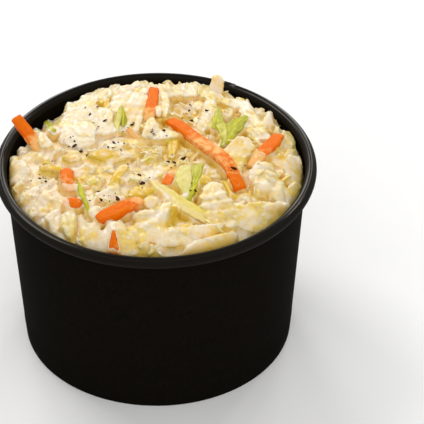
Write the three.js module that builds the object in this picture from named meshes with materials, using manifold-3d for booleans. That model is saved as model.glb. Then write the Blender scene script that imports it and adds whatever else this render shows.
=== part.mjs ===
// A squat black paper tub, heaped with creamy coleslaw.
// Millimetres, +Z up. The origin is the centre of the tub's foot, on the surface it stands on.
import * as THREE from "three";
import { mergeVertices } from "three/addons/utils/BufferGeometryUtils.js";
import Module from "manifold-3d";

const wasm = await Module();
wasm.setup();

// ---------------------------------------------------------------- driving dimensions

// The tub.
const RIM_RADIUS = 49; // outside of the rolled rim
const TUB_HEIGHT = 62; // foot to the top of the roll
const ROLL_RADIUS = 1.75; // the rim is a roll of paper, 3.5 mm thick
const FOOT_RADIUS = 41.9; // outside of the wall where it meets the table
const PAPER = 0.45; // one layer of the coated board
const HEM_THICKNESS = 1.3; // the wall is folded in round the base's skirt: three layers
const HEM_HEIGHT = 6.4;
const HEM_ROUND = 0.3; // the folded edge that stands on the table
const BASE_THICKNESS = 0.6;
const FIT_GAP = 0.3; // between pieces that touch
const SEAM_ANGLE = 64; // degrees; where the wall's two ends overlap
const SEAM_HALF_WIDTH = 4; // degrees
const SEAM_STEP = 0.35; // the outer layer stands proud by this
const TUB_SIDES = 60;
const BASE_SIDES = 40;
const ROLL_POINTS_BELOW = 4;
const ROLL_POINTS_ABOVE = 6;
const ROLL_POINTS = ROLL_POINTS_BELOW + ROLL_POINTS_ABOVE + 1;

// The slaw's heap, before the pieces that show on it.
const HEAP_TOP = 65.8;
const HEAP_RADIUS = 45.2; // where the heap's surface dives at the wall
const HEAP_SQUARENESS = 4; // 2 is an ellipsoid, more is flatter on top and steeper at the wall
const EDGE_HEIGHTS = [
  // [degrees round from +X, height of the heap at the wall]
  [0, 55.5],
  [25, 54],
  [50, 56.5],
  [90, 58],
  [120, 57],
  [142, 52],
  [160, 52.5],
  [185, 55],
  [225, 56.5],
  [270, 57.5],
  [315, 56.5],
  [360, 55.5],
];
const CORE_DROP = 0.4; // the core's surface lies this far under the heap's
const CORE_SIDES = 32;
const CORE_RINGS = 7;

// The cut vegetables that cover the core.
const SEED = 20261;
const GOLDEN_ANGLE = Math.PI * (3 - Math.sqrt(5));
const FLAKES = { count: 36, reach: 43, length: [9, 14], width: [6, 9.5], thickness: 1.3 };
const SHREDS = { count: 64, reach: 44.2, length: [9, 17], width: [2.2, 3.8], thickness: 1.5 };
const CHUNKS = { count: 28, reach: 44.2, size: [1.7, 2.9] };
const PEPPER_SIZE = 0.85; // half the width of a coarse flake of black pepper
const OVER_RIM = 2.5; // only what rises this far above the rim may lean out over it
const KEEP_CLEAR = 2.6; // from a named piece to the middle of a scattered one
const SMALLEST_STEP = 0.05; // slivers left where pieces cross are smoothed away
const WELD = 1e-3; // corners closer than this are one

// Named pieces. A path is [x, y, lift above the heap's surface], or with `raised` [x, y, z].
const CARROTS = [
  // the strip that sticks out over the rim
  { raised: true, path: [[-34.5, 6, 60.5], [-38.5, 9.8, 64.2], [-43.2, 14.2, 68.4]], width: 3.9, depth: 2 },
  { path: [[-1.1, 33, 1.3], [-1.6, 24, 1.2], [-2.4, 15, 0.3]], width: 3.4, depth: 2.2 },
  { path: [[4.2, 16.6, 1.9], [13.4, 3.6, 1.7], [20.7, -5.9, 1.5], [25.4, -17, 0.9]], width: 4, depth: 2.4 },
  { path: [[38.6, 13.6, 2.4], [34.8, 5.8, 2], [29, -2.6, 0.9]], width: 4.3, depth: 2.2 },
  { path: [[-26.8, -8.4, 2.2], [-25.9, -13.6, 1.4], [-24, -18.6, 0.3]], width: 4.4, depth: 3 },
  { path: [[-24.6, -23, 0.9], [-21.8, -25.8, 0.6]], width: 3.2, depth: 2.2 },
  { path: [[-16.6, -32.4, 1.5], [-10.4, -28.4, 1.7], [-4, -25.2, 1.2]], width: 4.3, depth: 2.6 },
  { path: [[-11.2, -36.6, 1.5], [-10.8, -40, 1.1], [-10.4, -42.4, 0.9]], width: 3.2, depth: 2.2 },
  { path: [[-9.8, 11.2, 0.9], [-3.2, 6, 0.8]], width: 2.2, depth: 1.8 },
  { path: [[7, -5.4, 1.1], [2.6, -16.8, 0.7]], width: 3.2, depth: 2.2 },
];
const GREENS = [
  { path: [[-12.2, 25.8, 1.1], [-11.6, 18, 1.2], [-12.6, 11.4, 0.6]], width: 2.6, depth: 1.6 },
  { path: [[-11.4, 18.4, 0.9], [-9.6, 12.2, 0.7]], width: 2, depth: 1.5 },
  { path: [[12.4, -5.4, 1.5], [10.2, -11, 1.3], [8.2, -22, 0.5]], width: 4.6, depth: 1.6 },
  { path: [[27.9, 21.8, 2.4], [24.6, 13.6, 1.7], [20.2, 2.6, 0.6]], width: 3.6, depth: 1.8 },
  { path: [[18.8, 25.6, 1.2], [21.4, 17.6, 1], [22.4, 9, 0.6]], width: 5, depth: 1.4 },
  { path: [[-2, -14.8, 0.8], [6.1, -22.8, 1.7], [12, -28.7, 1.9], [17.6, -33, 1.5]], width: 4.4, depth: 1.5 },
  { path: [[-23.4, -17, 0.9], [-19.6, -28.8, 0.7]], width: 1.9, depth: 1.6 },
  { path: [[-8.2, -7.6, 0.9], [-12.6, -18.6, 0.7]], width: 3.2, depth: 1.5 },
  { path: [[-34.4, 17.8, 1.2], [-31, 11, 0.8]], width: 2, depth: 1.5 },
];
const CABBAGE_STRIPS = [
  // the rolled stub that stands up at the back
  { raised: true, path: [[17.5, 32.6, 61], [18, 36, 65.2], [18.4, 38.4, 68.2]], width: 4.2, depth: 3.2 },
  { path: [[17.9, 31, 1.6], [17.4, 24, 1.8], [15.6, 15, 0.9]], width: 3, depth: 2 },
  { path: [[-3, -40.6, 1], [9, -38, 1.7], [21.8, -33.6, 1.2]], width: 5, depth: 1.8 },
  { path: [[9.2, -42.4, 0.9], [16, -39.6, 1.4], [22.6, -35.6, 1]], width: 4.6, depth: 2 },
  { path: [[33.8, 23.4, 2.2], [33.6, 20, 1.6], [32.2, 15, 0.6]], width: 3.6, depth: 2.6 },
];
// [x, y, lift, heading in degrees, length, width, tilt in degrees about the heading]
const CABBAGE_FLAKES = [
  [25.6, 0.6, 0.9, 10, 10.5, 7.5, -8],
  [41.2, -4, 2, 80, 9, 6.5, -62],
  [33.8, -15.6, 1.2, 25, 8.5, 5.5, -14],
  [32, -26.6, 1.2, 38, 14, 8, -12],
  [18.2, -23.2, 1.5, -45, 10, 7.5, 14],
  [-13, -38.2, 1.7, 70, 8, 5, 42],
  [-8.6, -38.6, 1.7, 112, 8, 5, -42],
  [3.9, 34.4, 1.5, 90, 7.5, 4, 30],
  [39.6, 12, 1.5, -60, 9, 6, -35],
];
// [x, y, size against PEPPER_SIZE]
const PEPPER = [
  [-38.4, -4, 1.7],
  [-37.2, -9.6, 1.1],
  [-35.6, -11.8, 1],
  [-25, 3.4, 1.2],
  [-22.8, 1, 1.3],
  [-20.8, -2, 1],
  [-20.6, 18.4, 1],
  [-16, 15.2, 1.1],
  [-12.8, 4.4, 1.4],
  [-14.4, 1.6, 1],
  [-7.4, 13, 1],
  [-16, -18.6, 1.5],
  [-15.8, -23.8, 1.2],
  [-10.8, -26, 1.5],
  [-4.8, -12.2, 1],
  [-3.8, -15.6, 1.5],
  [-8.8, -7, 1],
  [10, 24, 1],
  [10.8, 17.2, 1.2],
  [15.4, 20.4, 1],
  [-1.4, 8.4, 0.9],
  [2.4, 9.2, 0.9],
  [4, -3.6, 1.3],
  [8.4, -3.4, 1.4],
  [5.8, -4.6, 1],
  [23.6, -10.6, 1.7],
  [12.2, -20.4, 1],
];

// ---------------------------------------------------------------- small tools

const radians = THREE.MathUtils.degToRad;

/** A repeatable stream of numbers from 0 to 1 (mulberry32). */
function randomStream(seed) {
  let state = seed;
  return () => {
    state = (state + 0x6d2b79f5) | 0;
    let t = Math.imul(state ^ (state >>> 15), 1 | state);
    t = (t + Math.imul(t ^ (t >>> 7), 61 | t)) ^ t;
    return ((t ^ (t >>> 14)) >>> 0) / 4294967296;
  };
}

const random = randomStream(SEED);
const between = (low, high) => low + (high - low) * random();

/** An indexed geometry from a list of Vector3 and a flat list of corner numbers. */
function geometryOf(points, corners) {
  const geometry = new THREE.BufferGeometry();
  const positions = new Float32Array(points.flatMap((p) => [p.x, p.y, p.z]));
  geometry.setAttribute("position", new THREE.BufferAttribute(positions, 3));
  geometry.setIndex(corners);
  return geometry;
}

/** A closed geometry as a manifold-3d solid. */
function solidOf(geometry) {
  const bare = geometry.clone();
  bare.deleteAttribute("normal");
  bare.deleteAttribute("uv");
  const merged = mergeVertices(bare, WELD);
  return new wasm.Manifold(
    new wasm.Mesh({
      numProp: 3,
      vertProperties: merged.attributes.position.array,
      triVerts: new Uint32Array(merged.index.array),
    }),
  );
}

/** A manifold-3d solid as a geometry that can be shaded flat. */
function geometryFrom(solid) {
  const mesh = solid.getMesh();
  const geometry = new THREE.BufferGeometry();
  geometry.setAttribute("position", new THREE.BufferAttribute(mesh.vertProperties, 3));
  geometry.setIndex(new THREE.BufferAttribute(mesh.triVerts, 1));
  geometry.computeVertexNormals();
  return geometry;
}

/** A closed ring: a profile of [radius, height], anticlockwise, carried round the Z axis. */
function ringGeometry(profile, angles, swell) {
  const points = angles.flatMap((angle) =>
    profile.map(([radius, height], i) => {
      const r = radius + swell(angle, i);
      return new THREE.Vector3(r * Math.cos(angle), r * Math.sin(angle), height);
    }),
  );
  const n = profile.length;
  const corners = [];
  for (let j = 0; j < angles.length; j++) {
    const here = j * n;
    const next = ((j + 1) % angles.length) * n;
    for (let i = 0; i < n; i++) {
      const up = (i + 1) % n;
      corners.push(here + i, next + i, next + up, here + i, next + up, here + up);
    }
  }
  return geometryOf(points, corners);
}

// ---------------------------------------------------------------- the tub

const ROLL_CENTRE = { r: RIM_RADIUS - ROLL_RADIUS, z: TUB_HEIGHT - ROLL_RADIUS };
const INNER_EDGE = ROLL_CENTRE.r - ROLL_RADIUS; // the tub's mouth
const WALL_SLOPE = (INNER_EDGE + PAPER - FOOT_RADIUS) / ROLL_CENTRE.z;
const wallOuter = (z) => FOOT_RADIUS + WALL_SLOPE * z;
const wallInner = (z) => wallOuter(z) - PAPER;
const BASE_TOP = HEM_HEIGHT + FIT_GAP + BASE_THICKNESS;

function wallProfile() {
  const start = Math.acos((wallOuter(ROLL_CENTRE.z) - ROLL_CENTRE.r) / ROLL_RADIUS);
  const roll = Array.from({ length: ROLL_POINTS }, (_, i) => {
    const step = i - ROLL_POINTS_BELOW; // from the wall up to the widest point, then over the top
    const angle = step < 0 ? (start * step) / ROLL_POINTS_BELOW : (Math.PI * step) / ROLL_POINTS_ABOVE;
    return [
      ROLL_CENTRE.r + ROLL_RADIUS * Math.cos(angle),
      ROLL_CENTRE.z + ROLL_RADIUS * Math.sin(angle),
    ];
  });
  return [
    [FOOT_RADIUS - HEM_THICKNESS, 0],
    [FOOT_RADIUS - HEM_ROUND, 0],
    [wallOuter(HEM_ROUND), HEM_ROUND],
    ...roll,
    [wallInner(HEM_HEIGHT), HEM_HEIGHT],
    [FOOT_RADIUS - HEM_THICKNESS, HEM_HEIGHT],
  ];
}

function tubWall() {
  const profile = wallProfile();
  const seam = radians(SEAM_ANGLE);
  const half = radians(SEAM_HALF_WIDTH);
  const edge = radians(0.4); // the overlap's edges are steps
  const regular = Array.from({ length: TUB_SIDES }, (_, i) => (2 * Math.PI * i) / TUB_SIDES);
  const steps = [seam - half - edge, seam - half, seam + half, seam + half + edge];
  const angles = regular
    .filter((a) => Math.abs(a - seam) > half + 2 * edge)
    .concat(steps)
    .sort((a, b) => a - b);
  const isOuter = (i) => i >= 2 && i < 2 + ROLL_POINTS;
  const onSeam = (angle) => Math.abs(angle - seam) < half + edge / 2;
  const swell = (angle, i) => (isOuter(i) && onSeam(angle) ? SEAM_STEP : 0);
  return ringGeometry(profile, angles, swell);
}

function tubBase() {
  const radius = wallInner(HEM_HEIGHT + FIT_GAP) - FIT_GAP;
  const geometry = new THREE.CylinderGeometry(radius, radius, BASE_THICKNESS, BASE_SIDES);
  geometry.rotateX(Math.PI / 2);
  geometry.translate(0, 0, BASE_TOP - BASE_THICKNESS / 2);
  return geometry;
}

// ---------------------------------------------------------------- the heap

/** The heap's height where it meets the wall, eased between the named heights. */
function edgeHeight(x, y) {
  const turn = (THREE.MathUtils.radToDeg(Math.atan2(y, x)) + 360) % 360;
  const next = EDGE_HEIGHTS.findIndex(([angle]) => angle > turn);
  const [fromAngle, from] = EDGE_HEIGHTS[next - 1];
  const [toAngle, to] = EDGE_HEIGHTS[next];
  const along = (turn - fromAngle) / (toAngle - fromAngle);
  return from + ((to - from) * (1 - Math.cos(Math.PI * along))) / 2;
}

/** Low uneven mounds, a few millimetres apart. */
function mounds(x, y) {
  const broad = 0.45 * Math.sin(0.42 * x + 0.9) * Math.cos(0.38 * y - 0.4);
  const fine = 0.3 * Math.sin(0.71 * x - 0.54 * y + 2);
  return broad + fine;
}

function heapHeight(x, y) {
  const share = Math.min(1, Math.hypot(x, y) / HEAP_RADIUS);
  const edge = edgeHeight(x, y);
  const dome = Math.sqrt(1 - share ** HEAP_SQUARENESS);
  return edge + (HEAP_TOP - edge) * dome + mounds(x, y) * Math.sqrt(1 - share);
}

/** The heap's upward direction at a place, not steeper than a piece would lie. */
function heapNormal(x, y) {
  const d = 1.5;
  const inward = Math.min(1, 42 / Math.max(1, Math.hypot(x, y)));
  const u = x * inward;
  const v = y * inward;
  const dx = (heapHeight(u + d, v) - heapHeight(u - d, v)) / (2 * d);
  const dy = (heapHeight(u, v + d) - heapHeight(u, v - d)) / (2 * d);
  return new THREE.Vector3(-dx, -dy, 1).normalize();
}

/** The core: the tub's filled space, up to just under the heap's surface. */
function heapCore() {
  const bottom = BASE_TOP + FIT_GAP;
  const brim = wallInner(bottom) - FIT_GAP;
  const points = [new THREE.Vector3(0, 0, heapHeight(0, 0) - CORE_DROP)];
  const ring = (radiusAt, heightAt) => {
    for (let j = 0; j < CORE_SIDES; j++) {
      const angle = (2 * Math.PI * j) / CORE_SIDES;
      const r = radiusAt(angle);
      const x = r * Math.cos(angle);
      const y = r * Math.sin(angle);
      points.push(new THREE.Vector3(x, y, heightAt(x, y)));
    }
  };
  for (let i = 1; i <= CORE_RINGS; i++) {
    const r = (HEAP_RADIUS - 0.6) * Math.sqrt(i / CORE_RINGS);
    ring(
      () => r,
      (x, y) => heapHeight(x, y) - CORE_DROP,
    );
  }
  ring(
    (angle) => {
      const z = edgeHeight(Math.cos(angle), Math.sin(angle)) - 3;
      return wallInner(z) - FIT_GAP;
    },
    (x, y) => edgeHeight(x, y) - 3,
  );
  ring(
    () => brim,
    () => bottom,
  );
  points.push(new THREE.Vector3(0, 0, bottom));
  const corners = [];
  const rings = CORE_RINGS + 2;
  const at = (i, j) => 1 + i * CORE_SIDES + (j % CORE_SIDES);
  for (let j = 0; j < CORE_SIDES; j++) {
    corners.push(0, at(0, j), at(0, j + 1));
    for (let i = 0; i < rings - 1; i++) {
      corners.push(at(i, j), at(i + 1, j), at(i + 1, j + 1));
      corners.push(at(i, j), at(i + 1, j + 1), at(i, j + 1));
    }
    corners.push(at(rings - 1, j), points.length - 1, at(rings - 1, j + 1));
  }
  return geometryOf(points, corners);
}

// ---------------------------------------------------------------- the cut pieces

/** How far from the axis a piece may reach at a height: clear of the wall and of the roll. */
function freeRadius(z) {
  if (z > TUB_HEIGHT + OVER_RIM) return RIM_RADIUS - FIT_GAP;
  return Math.min(wallInner(z), INNER_EDGE) - FIT_GAP;
}

/** A piece's points, those that would cross the tub drawn in to the free space. */
function keepInTub(points) {
  for (const p of points) {
    const r = Math.hypot(p.x, p.y);
    const most = freeRadius(p.z);
    if (r > most) {
      p.x *= most / r;
      p.y *= most / r;
    }
  }
  return points;
}

/** A strip of four-cornered section along a path, narrower at its ends. */
function stripGeometry(path, width, depth, steps) {
  const curve = new THREE.CatmullRomCurve3(path);
  const points = [];
  for (let i = 0; i <= steps; i++) {
    const t = i / steps;
    const centre = curve.getPoint(t);
    const along = curve.getTangent(t);
    const up = heapNormal(centre.x, centre.y);
    const side = new THREE.Vector3().crossVectors(along, up).normalize();
    up.crossVectors(side, along);
    const taper = 1 - 0.25 * Math.abs(2 * t - 1) ** 3;
    const halfWidth = (width / 2) * taper * between(0.92, 1.08);
    const halfDepth = (depth / 2) * taper;
    for (const [a, b] of [[-1, 1], [1, 1], [1, -1], [-1, -1]]) {
      points.push(
        centre
          .clone()
          .addScaledVector(side, a * halfWidth)
          .addScaledVector(up, b * halfDepth),
      );
    }
  }
  const corners = [0, 2, 1, 0, 3, 2];
  for (let i = 0; i < steps; i++) {
    for (let k = 0; k < 4; k++) {
      const a = 4 * i + k;
      const b = 4 * i + ((k + 1) % 4);
      corners.push(a, b + 4, a + 4, a, b, b + 4);
    }
  }
  const end = 4 * steps;
  corners.push(end, end + 1, end + 2, end, end + 2, end + 3);
  return geometryOf(keepInTub(points), corners);
}

/** A frame on the heap: its X along the heading, its Z up, tilted about X. */
function placeOnHeap(x, y, lift, heading, tilt) {
  const up = heapNormal(x, y);
  const along = new THREE.Vector3(Math.cos(heading), Math.sin(heading), 0);
  along.addScaledVector(up, -along.dot(up)).normalize();
  const side = new THREE.Vector3().crossVectors(up, along);
  const centre = new THREE.Vector3(x, y, heapHeight(x, y)).addScaledVector(up, lift);
  const frame = new THREE.Matrix4().makeBasis(along, side, up).setPosition(centre);
  return frame.multiply(new THREE.Matrix4().makeRotationX(tilt));
}

/** A thin wavy flake of leaf: both faces are split into the same triangles. */
function flakeGeometry(frame, length, width, thickness, sides = 6) {
  const crown = between(0.5, 1.1);
  const ruffle = between(0.3, 0.7);
  const turn = between(0, 2 * Math.PI);
  const face = (offset) => {
    const points = [new THREE.Vector3(0, 0, crown + offset)];
    for (let k = 0; k < sides; k++) {
      const angle = (2 * Math.PI * k) / sides;
      const wave = ruffle * Math.cos(2 * angle + turn);
      points.push(
        new THREE.Vector3((length / 2) * Math.cos(angle), (width / 2) * Math.sin(angle), wave + offset),
      );
    }
    return points;
  };
  const reach = Array.from({ length: sides + 1 }, () => between(0.8, 1.15));
  const points = [...face(thickness / 2), ...face(-thickness / 2)];
  points.forEach((p, i) => {
    p.x *= reach[i % (sides + 1)];
    p.y *= reach[i % (sides + 1)];
    p.applyMatrix4(frame);
  });
  const under = sides + 1;
  const corners = [];
  for (let k = 1; k <= sides; k++) {
    const next = (k % sides) + 1;
    corners.push(0, k, next, under, under + next, under + k);
    corners.push(k, under + k, under + next, k, under + next, next);
  }
  return geometryOf(keepInTub(points), corners);
}

/** A crumb of stalk: an uneven little block. */
function chunkGeometry(frame, size) {
  const geometry = mergeVertices(bareGeometry(new THREE.BoxGeometry(2, 2, 2)));
  return blockOn(geometry, frame, [size * 1.25, size, size * 0.8]);
}

/** A coarse flake of pepper: a flat eight-faced grain, half sunk. */
function pepperGeometry(frame, size) {
  const geometry = mergeVertices(bareGeometry(new THREE.OctahedronGeometry(1)));
  return blockOn(geometry, frame, [size * 1.15, size * 0.85, size * 0.6]);
}

function bareGeometry(geometry) {
  geometry.deleteAttribute("normal");
  geometry.deleteAttribute("uv");
  return geometry;
}

/** A unit block stretched, made uneven and set in a frame. */
function blockOn(geometry, frame, [a, b, c]) {
  const position = geometry.attributes.position;
  const points = Array.from({ length: position.count }, (_, i) => {
    const p = new THREE.Vector3().fromBufferAttribute(position, i);
    p.multiply(new THREE.Vector3(a, b, c).multiplyScalar(between(0.8, 1.15)));
    return p.applyMatrix4(frame);
  });
  return geometryOf(keepInTub(points), Array.from(geometry.index.array));
}

// ---------------------------------------------------------------- laying the pieces

function pathPoints({ path, raised }) {
  return path.map(([x, y, z]) => new THREE.Vector3(x, y, raised ? z : heapHeight(x, y) + z));
}

const namedStrips = [...CARROTS, ...GREENS, ...CABBAGE_STRIPS];
const namedPaths = namedStrips.map(pathPoints);

/** True where a scattered piece would bury a named one. */
function onNamedPiece(x, y) {
  const near = (p) => Math.hypot(p.x - x, p.y - y) < KEEP_CLEAR;
  const overStrip = namedPaths.some((points) =>
    points.some((p, i) => near(p) || (i > 0 && near(p.clone().lerp(points[i - 1], 0.5)))),
  );
  return overStrip || CABBAGE_FLAKES.some(([u, v]) => near({ x: u, y: v }));
}

/** Places spread evenly over the heap, those on named pieces left out. */
function spread(count, reach, phase) {
  const places = [];
  for (let i = 0; i < count; i++) {
    const r = reach * Math.sqrt((i + 0.5) / count);
    const angle = i * GOLDEN_ANGLE + phase;
    const x = r * Math.cos(angle) + between(-1, 1);
    const y = r * Math.sin(angle) + between(-1, 1);
    if (!onNamedPiece(x, y)) places.push([x, y]);
  }
  return places;
}

/** The pieces are larger towards the front and the right of the heap. */
const coarseness = (x, y) => 1 + 0.006 * (x - y);

function namedPieces() {
  const strips = namedStrips.map(({ width, depth }, i) => {
    const steps = Math.max(2, 2 * (namedPaths[i].length - 1));
    return stripGeometry(namedPaths[i], width, depth, steps);
  });
  const flakes = CABBAGE_FLAKES.map(([x, y, lift, heading, length, width, tilt]) =>
    flakeGeometry(placeOnHeap(x, y, lift, radians(heading), radians(tilt)), length, width, 1.5, 8),
  );
  return [...strips, ...flakes];
}

function scatteredFlakes() {
  const { count, reach, length, width, thickness } = FLAKES;
  return spread(count, reach, 0).map(([x, y]) => {
    const scale = coarseness(x, y);
    const tilt = radians(between(-28, 28));
    const frame = placeOnHeap(x, y, between(-0.5, 0.5), between(0, Math.PI), tilt);
    return flakeGeometry(frame, between(...length) * scale, between(...width) * scale, thickness);
  });
}

function scatteredShreds() {
  const { count, reach, length, width, thickness } = SHREDS;
  return spread(count, reach, 1).map(([x, y]) => {
    const half = (between(...length) * coarseness(x, y)) / 2;
    const heading = between(0, Math.PI);
    const bend = between(-0.35, 0.35);
    const rise = between(-0.8, 1.2);
    const path = [-1, 0, 1].map((step) => {
      const angle = heading + step * bend;
      const u = x + step * half * Math.cos(angle);
      const v = y + step * half * Math.sin(angle);
      const inside = Math.min(1, (HEAP_RADIUS - 1.5) / Math.hypot(u, v));
      const lift = step === 0 ? 0.6 : step * rise - 0.1;
      const [a, b] = [u * inside, v * inside];
      return new THREE.Vector3(a, b, heapHeight(a, b) + lift);
    });
    return stripGeometry(path, between(...width), thickness, 2);
  });
}

function scatteredChunks() {
  return spread(CHUNKS.count, CHUNKS.reach, 2).map(([x, y]) => {
    const tilt = between(0, Math.PI);
    const frame = placeOnHeap(x, y, between(-0.2, 0.6), between(0, Math.PI), tilt);
    return chunkGeometry(frame, between(...CHUNKS.size) * coarseness(x, y));
  });
}

/** The highest point of a solid over a place, found from its triangles. */
function topOver(geometry, x, y) {
  const position = geometry.attributes.position;
  const index = geometry.index.array;
  const triangle = new THREE.Triangle();
  const down = new THREE.Ray(new THREE.Vector3(x, y, 200), new THREE.Vector3(0, 0, -1));
  const hit = new THREE.Vector3();
  let top = -Infinity;
  for (let i = 0; i < index.length; i += 3) {
    triangle.setFromAttributeAndIndices(position, index[i], index[i + 1], index[i + 2]);
    if (down.intersectTriangle(triangle.a, triangle.b, triangle.c, false, hit)) {
      top = Math.max(top, hit.z);
    }
  }
  return top;
}

function pepperOn(heap) {
  const surface = geometryFrom(heap);
  return PEPPER.map(([x, y, size]) => {
    const frame = placeOnHeap(x, y, 0, between(0, Math.PI), 0);
    frame.elements[14] = topOver(surface, x, y);
    return pepperGeometry(frame, size * PEPPER_SIZE);
  });
}

const largestBody = (solid) =>
  solid.decompose().reduce((best, body) => (body.volume() > best.volume() ? body : best));

const join = (solid, geometries) => geometries.reduce((sum, g) => sum.add(solidOf(g)), solid);

function coleslaw() {
  const pieces = [
    ...namedPieces(),
    ...scatteredFlakes(),
    ...scatteredShreds(),
    ...scatteredChunks(),
  ];
  const heap = largestBody(join(solidOf(heapCore()), pieces));
  const peppered = join(heap, pepperOn(heap)).simplify(SMALLEST_STEP);
  const welded = solidOf(geometryFrom(peppered));
  return geometryFrom(largestBody(welded));
}

// ---------------------------------------------------------------- the object

const blackPaper = new THREE.MeshStandardMaterial({
  color: 0x1d1918,
  roughness: 0.55,
  metalness: 0,
});
const slaw = new THREE.MeshStandardMaterial({
  color: 0xf0e2b8,
  roughness: 0.4,
  metalness: 0,
  flatShading: true,
});

function named(name, geometry, material) {
  const mesh = new THREE.Mesh(geometry, material);
  mesh.name = name;
  return mesh;
}

const tubOfColeslaw = new THREE.Group();
tubOfColeslaw.add(named("tub_wall", tubWall(), blackPaper));
tubOfColeslaw.add(named("tub_base", tubBase(), blackPaper.clone()));
tubOfColeslaw.add(named("coleslaw", coleslaw(), slaw));

export default tubOfColeslaw;
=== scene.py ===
"""A squat black paper tub heaped with creamy coleslaw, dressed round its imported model.

Shapes are worked out in millimetres, in the model's own frame, and made in metres. The slaw is
laid the way a spoon heaps it: each cut piece comes to rest on the height of what already lies
there, so that pieces overlap, bridge hollows and lean on each other.
"""

import math
from functools import cache
from types import SimpleNamespace

import bpy
import numpy as np
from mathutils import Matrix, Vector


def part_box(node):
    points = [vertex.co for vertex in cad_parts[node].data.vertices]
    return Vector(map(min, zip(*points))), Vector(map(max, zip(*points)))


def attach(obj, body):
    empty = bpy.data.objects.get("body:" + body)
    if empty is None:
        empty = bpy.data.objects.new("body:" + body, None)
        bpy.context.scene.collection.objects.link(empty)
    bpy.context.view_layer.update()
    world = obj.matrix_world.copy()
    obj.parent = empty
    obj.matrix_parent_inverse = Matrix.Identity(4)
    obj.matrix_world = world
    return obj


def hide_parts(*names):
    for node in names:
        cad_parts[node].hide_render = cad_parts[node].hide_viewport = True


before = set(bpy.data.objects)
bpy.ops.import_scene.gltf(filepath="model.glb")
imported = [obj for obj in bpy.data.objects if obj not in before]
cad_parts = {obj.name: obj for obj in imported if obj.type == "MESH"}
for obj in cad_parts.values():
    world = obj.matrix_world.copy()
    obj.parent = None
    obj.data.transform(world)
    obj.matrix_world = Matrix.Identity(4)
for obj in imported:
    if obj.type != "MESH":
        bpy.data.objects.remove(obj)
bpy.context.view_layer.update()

MM = 0.001
TURN = 2 * np.pi
rng = np.random.default_rng(20261)

# ---------------------------------------------------------------- sizes

# The tub, from its nodes' boxes and the thicknesses of its board.
WALL_HIGH = np.array(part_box("tub_wall")[1]) / MM
BASE_LOW, BASE_HIGH = (np.array(corner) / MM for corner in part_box("tub_base"))
RIM_RADIUS = WALL_HIGH[0]
TUB_HEIGHT = WALL_HIGH[2]
ROLL_RADIUS = 1.75
FOOT_RADIUS = 41.9
PAPER = 0.45
HEM_THICKNESS = 1.3
HEM_HEIGHT = 6.4
FOLD_RADIUS = 0.3
LIP_DROP = 1.35  # how far down the wall the roll's cut edge hangs
FIT_GAP = 0.3
OVER_RIM = TUB_HEIGHT + 2.5  # from here up slaw may reach out over the rim
DRESSING_TOP = TUB_HEIGHT + 4.5
SEAM_ANGLE = math.radians(64)
SEAM_HALF_WIDTH = math.radians(4)
SEAM_SLOPE = math.radians(0.12)
SEAM_STEP = 0.35
ROLL_R = RIM_RADIUS - ROLL_RADIUS
ROLL_Z = TUB_HEIGHT - ROLL_RADIUS
INNER_EDGE = ROLL_R - ROLL_RADIUS
WALL_SLOPE = (INNER_EDGE + PAPER - FOOT_RADIUS) / ROLL_Z
# The ring pressed into the base disc.
RING_INNER = 30
RING_OUTER = 37
RING_SLOPE = 1
RING_DEPTH = 0.15

# The heap of slaw: the same surface as the model's.
HEAP_TOP = 65.8
HEAP_RADIUS = 45.2
HEAP_SQUARENESS = 4
EDGE_ANGLES = np.array([0, 25, 50, 90, 120, 142, 160, 185, 225, 270, 315, 360.0])
EDGE_HEIGHTS = np.array([55.5, 54, 56.5, 58, 57, 52, 52.5, 55, 56.5, 57.5, 56.5, 55.5])
UNDER_DEPTH = 3.2  # how far under the heap's surface the loose pieces start
LUMP_HEIGHT = 1.5
LUMP_SIZE = 4.2
LUMPY_RADIUS = 43
LUMPY_FADE = 8
BRIDGE_RADIUS = 0.6  # the dressing closes gaps between pieces narrower than twice this
FILM_CLOUD = 3.4  # the size of the clouds where its film is thick

# The height grid that pieces are laid on.
SPAN = 46.0
CELL = 0.25
CELLS = int(2 * SPAN / CELL) + 1

# The camera: where it stands from the rim's centre, and its lens.
CAMERA_PITCH = math.radians(37.41)
CAMERA_DISTANCE = 836.8
CAMERA_ASIDE = 17.05
CAMERA_BELOW = 13.87
IMAGE_WIDTH_PX = 424
FOCAL_PX = 2745.0
SENSOR_WIDTH = 36.0

# ---------------------------------------------------------------- pieces with a place of their own


def strip(*path, width, depth, coat, taper=0.15, sink=0.45):
    """A cut strip: points along it, its section, and how much dressing coats it from end to end.

    taper narrows its ends, and sink is how far it sinks into what it lies on.
    """
    return SimpleNamespace(path=path, width=width, depth=depth, coat=coat, taper=taper, sink=sink)


CARROTS = [
    strip((-1.1, 33), (-1.6, 24), (-2.4, 15), width=3.6, depth=2.2, coat=(0, 0, 0.1, 1.2)),
    strip(
        (4.2, 16.6), (13.4, 3.6), (20.7, -5.9), (25.4, -17),
        width=4.2, depth=2.6, coat=(0, 0.2, 0.65, 0.7, 0.5, 0.2), sink=0.2,
    ),
    strip((37.6, 9.6), (33.5, 1.7), (29.1, -6.2), width=4.3, depth=2.2, coat=(0, 0, 0.6, 1.2)),
    strip(
        (-16.6, -33.4), (-10, -29.8), (-3.8, -26.4),
        width=4.5, depth=3, coat=(0, 0, 0.3, 0.9), taper=0.4,
    ),
    strip((-8.8, 10.6), (-5, 7.4), width=2, depth=1.8, coat=(0.8, 1.2)),
    strip((6.6, -6.6), (3.2, -16.4), width=3.2, depth=2.2, coat=(1.2, 0.8, 0.3, 0.4)),
]
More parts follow.
